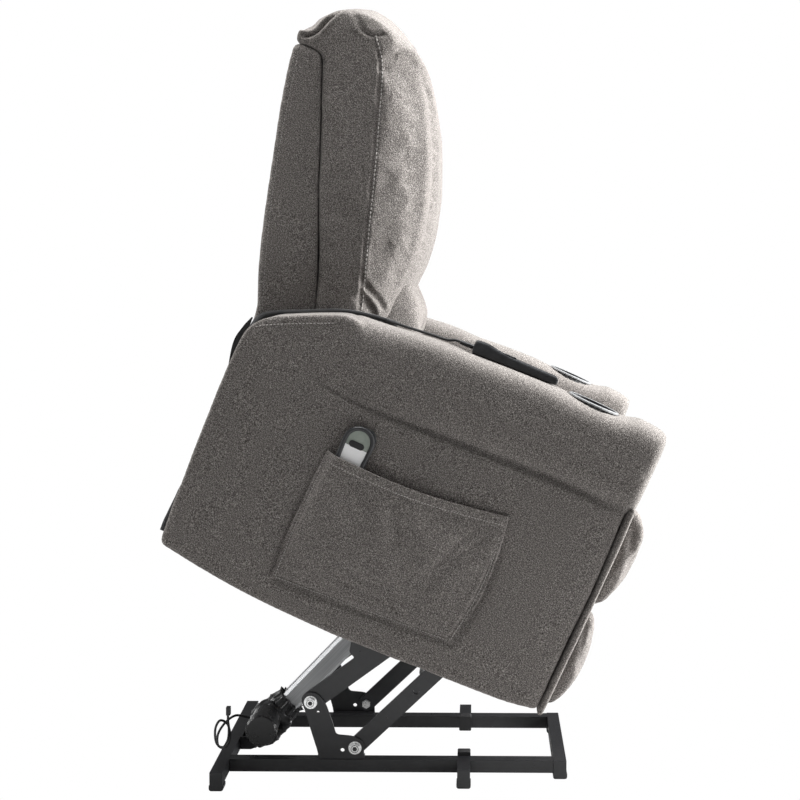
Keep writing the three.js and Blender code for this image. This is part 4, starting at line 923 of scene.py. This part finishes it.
# ---- seat
def pillow(name, outline, half, frame_of, body, pull, soft, voxel=0.006, seam=None, reach=40, keep=None,
           moved=None):
    """A stuffed form: a side outline lofted across, drawn in by pull over the last soft millimetres.
    From seam forward it rises to its full depth within reach. keep(a, b) is the share of the pull that a
    point of the outline gets, and moved(x, a, b) shifts it along the width."""
    pts = smooth_curve(outline, 3, True)
    centre = pts.mean(0)
    rings = []
    across = np.linspace(-1, 1, 25)
    for x in half * np.sign(across) * (1 - (1 - np.abs(across)) ** 1.6):
        t = min(1, (half - abs(x)) / soft)
        inset = pull * (1 - sqrt(max(0, 1 - (1 - t) ** 2)))
        ramp = (half - abs(x)) / reach
        bulge = ramp / (1 + ramp**8) ** (1 / 8)
        ring = []
        for a, b in pts:
            if moved:
                a, b = moved(x, a, b)
            if seam is not None and a > seam:
                a = seam + (a - seam) * bulge
            d = np.array([a, b]) - centre
            r = np.linalg.norm(d)
            a, b = centre + d * (1 - min(0.9, inset * (keep(a, b) if keep else 1) / r))
            ring.append((x, a, b))
        rings.append(place(frame_of, ring))
    o = add_mesh(name, *loft(rings), CLOTH, body, "cloth")
    remesh(o, voxel, 3)
    return o


DECK_TOP = 285
SEAT_OUTLINE = (
    (222, 290), (480, 288), (728, 290), (739, 340), (748, 384), (770, 390), (778, 405),
    (762, 420), (640, 426), (480, 423), (330, 414), (238, 398), (216, 370), (217, 310),
)


def seat():
    def room(x, u, v):
        v = np.maximum(v, DECK_TOP + 0.8)
        v = np.where(v > 392, 392 + (v - 392) * 0.9, v)
        return np.clip(x, 1.2 - ARM_IN, ARM_IN - 1.2), np.clip(u, 214, 786), np.minimum(v, 437)

    o = pillow("seat_pad", SEAT_OUTLINE, ARM_IN - 5, from_chair, "chair_body", 16, 40)
    stuff(o, 0.022, lambda x, u, v: v < 300, room, to_chair, from_chair)
    ripple(o, 6.0, 0.003, 21.0)
    welt = smooth_curve([(x, 771, 396) for x in (-240, -120, 0, 120, 240)], 6)
    carve(o, place(from_chair, welt), 0.004, 0.003, 0.001)
    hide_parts("seat_cushion")


seat()


# ---- backrest
FRAME_LOW, FRAME_HIGH = (121, -80), (51, 496)


def frame_front(q):
    (p0, q0), (p1, q1) = FRAME_LOW, FRAME_HIGH
    return p0 + (p1 - p0) * (q - q0) / (q1 - q0)


def back_box():
    outline = rounded((
        (10, -84, 9), (121, -80, 12), (52, 492, 12), (45, 507, 10), (-3, 518, 10), (-9, 480, 40),
        (-14, 400, 60), (-15, 210, 90), (-11, 90, 40), (-3, 10, 20), (-10, -20, 16), (-10, -60, 16),
    ))
    o = prism("back_box", outline, -BACK_HALF + 0.5, BACK_HALF - 0.5, from_back, CLOTH, "backrest", "cloth")
    remesh(o, 0.006, 3)
    local = to_back(points_of(o))
    x, p, q = local.T
    rear = np.clip(normals_of(o)[:, 1], 0, 1) * (p < 20)
    fade = np.clip((q + 60) / 80, 0, 1), np.clip((519 - q) / 60, 0, 1)
    local[:, 1] -= 2.0 * rear * (1 - (x / BACK_HALF) ** 2) * fade[0] * fade[1]
    put_points(o, from_back(*local.T))
    ripple(o, 6.0, 0.0018, 31.0)
    for _, sign in SIDES:
        front = [(sign * BACK_HALF, frame_front(q) - 3, q) for q in (0, 120, 240, 360, 480)]
        carve(o, place(from_back, front), 0.0035, 0.001)
    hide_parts("backrest_frame")
    for side, sign in SIDES:
        rear_line = [(sign * (BACK_HALF + 60), 8 - 12 * sin(pi * q / 510), q) for q in range(10, 500, 12)]
        sewn_line("back_stitch_" + side, o, place(from_back, rear_line), (-sign, 0, 0), "backrest",
                  thick=0.25, inward=-0.05)


PILLOW_OUTLINE = (
    (113, -12), (99, 118), (88, 210), (76, 305), (64, 400), (53, 488), (45, 504), (20, 513), (-1, 517),
    (-2, 526), (-1, 543), (2, 562), (9, 586), (22, 609), (40, 625), (62, 633), (89, 634), (118, 629),
    (152, 615), (187, 590), (214, 559), (239, 513), (260, 460), (278, 400), (289, 335), (295, 270), (296, 215),
    (290, 160), (280, 121), (271, 91), (261, 58), (248, 22), (215, -20), (150, -32),
)
SEAM_LINE = ((142, 552), (163, 497), (172, 394), (178, 300), (182, 203), (188, 85), (190, 10))
PLEATS = (
    (((6, 531), (14, 531), (24, 534), (36, 543), (53, 566), (67, 582), (88, 594)), 4, 7),
    (((117, 562), (125, 554), (138, 550), (152, 553), (166, 557)), 3.6, 4.5),
    (((152, 516), (164, 516), (178, 517), (194, 520)), 6, 3),
    (((96, 592), (108, 576), (124, 554)), 5, 2.5),
    (((160, 446), (176, 444), (194, 441)), 13, 2),
    (((190, 92), (206, 74), (224, 58), (238, 40)), 5, 5),
    (((188, 70), (210, 40), (222, 20)), 6, 4),
    (((176, 330), (205, 345), (240, 338)), 16, 2.5),
    (((176, 250), (196, 262), (214, 300)), 16, 2),
    (((176, 160), (205, 150), (232, 170)), 14, 2),
    (((150, 200), (118, 240), (110, 300)), 18, 2),
)  # (p, q) along each fold, its width and its depth
ASIDE = 330  # x from which rays look for the pillow's ends


def back_cushion():
    def drawn(p, q):
        """Drawn in at the crown and the front, and flat where it meets the backrest box."""
        return float(max(0.8 * ease((q - 560) / 60), 0.6 * ease((p - 190) / 60)))

    def crown(x, p, q):
        """The crown falls away towards both ends."""
        fall = abs(x) / BACK_HALF * float(ease((q - 535) / 55))
        return p + 24 * fall * float(ease((210 - p) / 120)), q - 42 * fall

    def held(x, p, q):
        return ((p < frame_front(np.minimum(q, 500)) + 9) & (q < 530)) | (q < -12)

    def room(x, p, q):
        p = np.where(q < 505, np.maximum(p, frame_front(q) - 3), p)
        return np.clip(x, -BACK_HALF - 5, BACK_HALF + 5), np.clip(p, -6, 305), np.clip(q, -40, 640)

    o = pillow("back_cushion", PILLOW_OUTLINE, BACK_HALF - 0.5, from_back, "backrest", 16, 70, seam=186,
               keep=drawn, moved=crown)
    stuff(o, 0.007, held, room, to_back, from_back, grow=0.01)
    tree = surface_of(o)
    for _, sign in SIDES:
        seam = smooth_curve([(sign * ASIDE, p, q) for p, q in SEAM_LINE], 8)
        found = found_on(tree, place(from_back, seam), (-sign, 0, 0))
        carve(o, [np.array(p) for p, _ in found], 0.0032, 0.0026, 0.0008)
    pleats(o)
    ripple(o, 7.0, 0.004, 41.0)
    ripple(o, 22.0, 0.0012, 43.0)
    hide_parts("back_pillow")
    for side, sign in SIDES:
        seam = smooth_curve([(sign * ASIDE, p + 4, q) for p, q in SEAM_LINE], 10)
        sewn_line("pillow_stitch_" + side, o, place(from_back, seam), (-sign, 0, 0), "backrest", inward=0.3,
                  pitch=8, long=5.6, thick=0.8)


def pleats(o):
    """Gathers where the gusset is eased into the box and the front panel."""
    tree = surface_of(o)
    for _, sign in SIDES:
        for line, width, depth in PLEATS:
            starts = place(from_back, smooth_curve([(sign * ASIDE, p, q) for p, q in line], 6))
            path = [np.array(p) for p, _ in found_on(tree, starts, (-sign, 0, 0))]
            if len(path) > 1:
                carve(o, path, width * MM, depth * MM, depth * MM * 0.2)


LUMBAR_OUTLINE = (
    (118, -44), (112, 0), (106, 50), (101, 98), (180, 105), (240, 108), (273, 102),
    (291, 72), (301, 44), (307, 14), (304, -16), (286, -40), (200, -48),
)


def lumbar():
    def held(x, p, q):
        return p < frame_front(q) + 10

    def room(x, p, q):
        p = np.maximum(p, frame_front(q) + 0.6)
        return np.clip(x, 40 - BACK_HALF, BACK_HALF - 40), np.minimum(p, 318), np.clip(q, -54, 109)

    o = pillow("lumbar_cushion", LUMBAR_OUTLINE, BACK_HALF - 44, from_back, "backrest", 14, 50, seam=240,
               reach=24)
    stuff(o, 0.014, held, room, to_back, from_back)
    ripple(o, 8.0, 0.0035, 51.0)
    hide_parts("lumbar_pillow")


back_box()
back_cushion()
lumbar()


# ---- footrest
PAD_REAR = 770.4
UPPER_PAD = (
    (771, 190), (771, 280), (771, 372), (782, 386), (800, 378), (814, 358), (820, 330),
    (821, 290), (815, 246), (804, 206), (790, 187),
)
LOWER_PAD = (
    (771, -22), (771, 70), (771, 160), (784, 174), (799, 166), (808, 130), (814, 85), (813, 38), (803, -4),
    (788, -26),
)


def footrest_pad(lobe, outline, low, high, folds, seed):
    def room(x, u, v):
        return np.clip(x, -246, 246), np.clip(u, PAD_REAR, 827), np.clip(v, low, high)

    o = pillow("foot_lobe_" + lobe, outline, 242, from_chair, "footrest", 16, 34, voxel=0.005)
    stuff(o, 0.008, lambda x, u, v: u < PAD_REAR + 7, room, to_chair, from_chair)
    for _, sign in SIDES:
        for v in folds:
            fold = [(sign * 246, 800, v), (sign * 238, 822, v + 1), (sign * 205, 828, v + 3)]
            carve(o, smooth_curve(place(from_chair, fold), 5), 0.004, 0.004, 0.0012)
    ripple(o, 9.0, 0.0025, seed)
    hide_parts("footrest_pad_" + lobe)


footrest_pad("upper", UPPER_PAD, 180, 392, (336, 356), 61.0)
footrest_pad("lower", LOWER_PAD, -31, 178, (), 67.0)


# ---- side pocket and its remote
POCKET_U, POCKET_LOW, POCKET_HIGH, POCKET_SKEW, POCKET_BULGE = (207, 552), 24, 276, 24, 17
POCKET_FACE = ARM_OUT + 4.6
POCKET_EDGE = 0.018
WRINKLES = (
    ((0.2, 0.93), (0.3, 0.74), (0.33, 0.5)), ((0.42, 0.9), (0.5, 0.66), (0.62, 0.5)),
    ((0.93, 0.9), (0.8, 0.66), (0.7, 0.3)), ((0.1, 0.5), (0.3, 0.24), (0.6, 0.16)),
)


def pocket_point(s, t, over=0.0):
    """A point of the pocket's sheet: s along it, t up it."""
    u = POCKET_U[0] + (POCKET_U[1] - POCKET_U[0]) * s
    u += (13 * s - 4 * (1 - s)) * sin(pi * t)
    v = POCKET_LOW + POCKET_SKEW * s + (POCKET_HIGH - POCKET_LOW) * t - 12 * sin(pi * s) * t
    off = POCKET_BULGE * float(ease(s * 15)) * (1 - s) ** 0.75 * float(ease(t * 1.6))
    fold = 2.2 * sin(7 * s + 5 * t) * sin(pi * s) * t
    return -(POCKET_FACE + off + fold + over), u, v


def on_pocket(points, over):
    return place(from_chair, [pocket_point(s, t, over) for s, t in points])


def sheet_mesh(name, point, columns, rows, thick, material, slot):
    """A sheet of cloth from a rule for its points, with a thickness."""
    verts = [point(i / columns, j / rows) for j in range(rows + 1) for i in range(columns + 1)]
    n = columns + 1
    faces = [(j * n + i, j * n + i + 1, (j + 1) * n + i + 1, (j + 1) * n + i)
             for j in range(rows) for i in range(columns)]
    o = add_mesh(name, verts, faces, material, "chair_body", slot)
    modify(o, "SOLIDIFY", thickness=thick, offset=0)
    return o


def side_pocket():
    def flat(s, t):
        return spot(from_chair, *pocket_point(s, t))

    def folded(s, t):
        return spot(from_chair, *pocket_point(s, 0.925 + 0.078 * t, 1.7))

    def sewn(name, line):
        stitches(name, line, [(-1, 0, 0)] * len(line), "chair_body", pitch=5.5, long=3.6, thick=0.4)

    o = sheet_mesh("pocket_cloth", flat, 96, 64, 0.0024, CLOTH, "cloth")
    ripple(o, 13.0, 0.0016, 71.0)
    for wrinkle in WRINKLES:
        carve(o, on_pocket(smooth_curve(wrinkle, 6), 1.2), 0.014, 0.0022, 0.0014)
    hem = sheet_mesh("pocket_hem", folded, 96, 8, 0.0022, CLOTH, "cloth")
    edge = [(POCKET_EDGE, t / 60) for t in range(55, 1, -1)] + [(s / 90, POCKET_EDGE) for s in range(2, 89)]
    line = on_pocket(edge + [(1 - POCKET_EDGE, t / 60) for t in range(2, 56)], 1.2)
    carve(o, line, 0.0034, 0.0034, 0.0008)
    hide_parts("side_pocket")
    outside = [(-0.012, t / 20) for t in range(19, 0, -1)] + [(s / 30, -0.012) for s in range(0, 31)]
    outside += [(1.01, t / 20) for t in range(1, 20)]
    around = [(-ARM_OUT - 1, *pocket_point(s, t)[1:]) for s, t in outside]
    carve(bpy.data.objects["arm_right"], place(from_chair, around), 0.0045, 0.0042)
    sewn("pocket_seam", line)
    sewn("pocket_hem_seam", on_pocket([(s / 90, 0.937) for s in range(2, 89)], 3.0))


REMOTE_U, REMOTE_FACE = 252, ARM_OUT + 0.3 + 12
FACE_HALF, RING_HALF = 21, 25
ARCH_FROM, FACE_SPLIT, RING_LOW = 313, 303, 246
BUTTON_AT, BUTTON_REACH, BUTTON_ROUND = (251, 307), 8.5, 5.8


def remote_faces():
    """Grey-green field above a white face, inside the thick black ring of the remote."""
    left, right = REMOTE_U - FACE_HALF, REMOTE_U + FACE_HALF
    field = [(right, FACE_SPLIT), *arc(REMOTE_U, ARCH_FROM, FACE_HALF, 0, pi, 21), (left, FACE_SPLIT)]
    low = [(left + 5, 205), (right - 5, 205), (right, FACE_SPLIT - 0.4), (left, FACE_SPLIT - 0.4)]
    plates = ("remote_field", field, GREY_PLASTIC), ("remote_white", low, WHITE_PLASTIC)
    for name, outline, material in plates:
        o = prism(name, outline, -REMOTE_FACE - 0.45, -REMOTE_FACE + 0.5, from_chair, material, "chair_body",
                  "silver_plastic")
        round_edges(o, 0.0003, 1)
    ring = [(REMOTE_U + 22, RING_LOW), (REMOTE_U + RING_HALF, 302)]
    ring += arc(REMOTE_U, ARCH_FROM, RING_HALF, 0, pi, 25)
    ring += [(REMOTE_U - RING_HALF, 302), (REMOTE_U - 22, RING_LOW)]
    line = place(from_chair, [(-REMOTE_FACE - 0.6, u, v) for u, v in smooth_curve(ring, 3)])
    tube("remote_frame", line, 0.0042, BLACK_PLASTIC_AND_SHADE, "chair_body", "black_plastic", 12)


def remote_button():
    """Long soft button across the face of the pocket's remote."""
    end = arc(BUTTON_REACH, 0, BUTTON_ROUND, -pi / 2, pi / 2, 13)
    pill = [(BUTTON_AT[0] + u, BUTTON_AT[1] + v) for u, v in end + [(-u, -v) for u, v in end]]
    o = prism("remote_pill", pill, -REMOTE_FACE - 1.9, -REMOTE_FACE + 3, from_chair, RUBBER, "remote_key",
              "rubber")
    round_edges(o, 0.0006, 2)
    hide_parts("pocket_remote_button")


side_pocket()
remote_faces()
remote_button()


# ---- dust cover
COVER_HALF = 330
COVER_PATH = ((-18, 4), (-18.6, 30), (-17.4, 66), (-14, 130), (-17, 220), (-22, 335))
WING_PATH = ((-16.5, 300), (-34, 372), (-30, 408), (-22, 432))


def dust_cover():
    path = smooth_curve(COVER_PATH, 8)

    def at(s, t):
        x = (2 * s - 1) * (COVER_HALF + 12)
        k = t * (len(path) - 1)
        i = min(int(k), len(path) - 2)
        u, v = path[i] + (path[i + 1] - path[i]) * (k - i)
        inward = max(0, abs(x) - COVER_HALF)
        x = copysign(min(abs(x), COVER_HALF), x)
        sag = 2.2 * noise.noise(Vector((x * 0.012, v * 0.03, 3.0)))
        sag -= 1.0 * noise.noise(Vector((x * 0.04, v * 0.02, 9.0)))
        low = 0 if inward else sin(pi * min(1, max(0, t)))
        return spot(from_chair, x, u + inward - 0.2 + sag * low, v)

    o = sheet_mesh("cover_cloth", at, 120, 48, 0.0014, LINING_AND_GAP_SHADE, "lining")
    inner = [(-(9 + (v - 200) * 0.046), v) for v in (432, 391, 350, 300)]
    outer = [tuple(p) for p in smooth_curve(WING_PATH, 6)]
    for side, sign in SIDES:
        low, high = sorted((sign * (COVER_HALF - 2), sign * COVER_HALF))
        prism("cover_wing_" + side, outer + inner, low, high, from_chair, LINING_AND_GAP_SHADE, "chair_body",
                           "lining")
    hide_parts("dust_cover")


dust_cover()


# ---- actuator: cover and small fittings
ACTUATOR_SLOPE, FRONT_LINK_SLOPE, REAR_LINK_SLOPE = radians(46), radians(43.3), radians(36)
REAR_PIVOT, FRONT_PIVOT = (-349, 150), (-261, 59)  # forward and up of the links' lower pivots
SOCKET, SOCKET_RING, HOLE_SHADE = 4.8, 7.2, 5.4  # radii of the painted shade: bolt socket, the ring round it, the disc in the link's hole
RUFFLE = ((84, 30, 1), (94, 33, 2.0), (104, 31, 3.4), (114, 27, 4.2), (121, 30, 5.2), (122, 25, 4.4),
          (113, 23, 3.2), (104, 22.6, 0.6))  # along the actuator, radius, depth of the folds
TIE = ((-146, 372, 0), (-147, 371, 6), (-143, 374, 14), (-146, 380, 22), (-145, 384, 30))


def from_actuator(x, along, over):
    """A point along the actuator from its base pivot, and over its axis."""
    return from_base(x, *turn(along, over, -ACTUATOR_SLOPE, ACTUATOR_PIVOT))


def gearbox_cover():
    """Crinkled black bag over the gearbox, gathered round the foot of the guide tube."""
    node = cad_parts["actuator_gearbox"]
    co = np.array([node.matrix_world @ v.co for v in node.data.vertices])
    o = add_mesh("gearbox_cover", co, [tuple(p.vertices) for p in node.data.polygons], BAG, "actuator_body",
                 "lining")
    remesh(o, 0.0034, 3)
    co, n = points_of(o), normals_of(o)
    rise = []
    for p in co:
        q = Vector(p)
        a = 1 - abs(noise.noise(Vector((q.x * 28, q.y * 60, q.z * 22))))
        b = 1 - abs(noise.noise(Vector((q.x * 70, q.y * 36, q.z * 80)) + Vector((4, 1, 7))))
        rise.append(4.2 * a**3 + 2.2 * b**3)
    put_points(o, co + n * (np.array(rise) * MM)[:, None])
    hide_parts("actuator_gearbox")
    rings = []
    for along, wide, deep in RUFFLE:
        ring = []
        for k in range(96):
            a = 2 * pi * k / 96
            ruffle = deep * (0.55 * sin(11 * a + along * 0.05) + 0.45 * sin(23 * a + 1.7))
            r = wide + ruffle
            ring.append((r * cos(a), along + 0.5 * ruffle, r * sin(a)))
        rings.append(place(from_actuator, ring))
    add_mesh("cover_ruffle", *loft(rings), BAG, "actuator_body", "lining")


def outer_face(node):
    """How far from the middle of the chair a node's outer face lies."""
    return max(abs(c[0] / MM + MIDDLE[0]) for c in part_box(node))


def painted_socket_shade(name, bolt, pivot, sign):
    """A black hexagon on a bolt's head as painted shade for its socket, and a fine black ring round it, also
    painted shade.
    """
    face = outer_face(bolt)
    outline = [(pivot[0] + SOCKET * cos(k * pi / 3), pivot[1] + SOCKET * sin(k * pi / 3)) for k in range(6)]
    prism(name, outline, *sorted((sign * (face - 1), sign * (face + 0.2))), from_base, BLACK_PLASTIC_AND_SHADE, "base",
          "black_plastic")
    ring = [(sign * (face + 0.1), a, b) for a, b in arc(*pivot, SOCKET_RING, 0, 6.2832, 33)]
    tube(name + "_ring", place(from_base, ring), 0.0006, BLACK_PLASTIC_AND_SHADE, "base", "black_plastic", 8)


def small_fittings():
    for side, sign in SIDES:
        painted_socket_shade("socket_shade_rear_" + side, "pivot_bolt_rear_" + side, REAR_PIVOT, sign)
        painted_socket_shade("socket_shade_front_" + side, "pivot_bolt_front_" + side, FRONT_PIVOT, sign)
        outer = outer_face("front_link_" + side)
        # A black disc sunk in the front link's hole: painted shade for the dark hole.
        disc = arc(*turn(165, -2, -FRONT_LINK_SLOPE, FRONT_PIVOT), HOLE_SHADE, 0, 6.2, 24)
        low, high = sorted((sign * (outer - 4.6), sign * (outer - 2.6)))
        prism("link_hole_shade_" + side, disc, low, high, from_base, BLACK_PLASTIC_AND_SHADE, "front_links", "black_plastic")
    line = [(x, *turn(d - 70, o, -REAR_LINK_SLOPE, REAR_PIVOT)) for x, d, o in smooth_curve(TIE, 6)]
    tube("cable_tie", place(from_base, line), 0.0013, BLACK_PLASTIC_AND_SHADE, "rear_links", "black_plastic", 8)


gearbox_cover()
small_fittings()
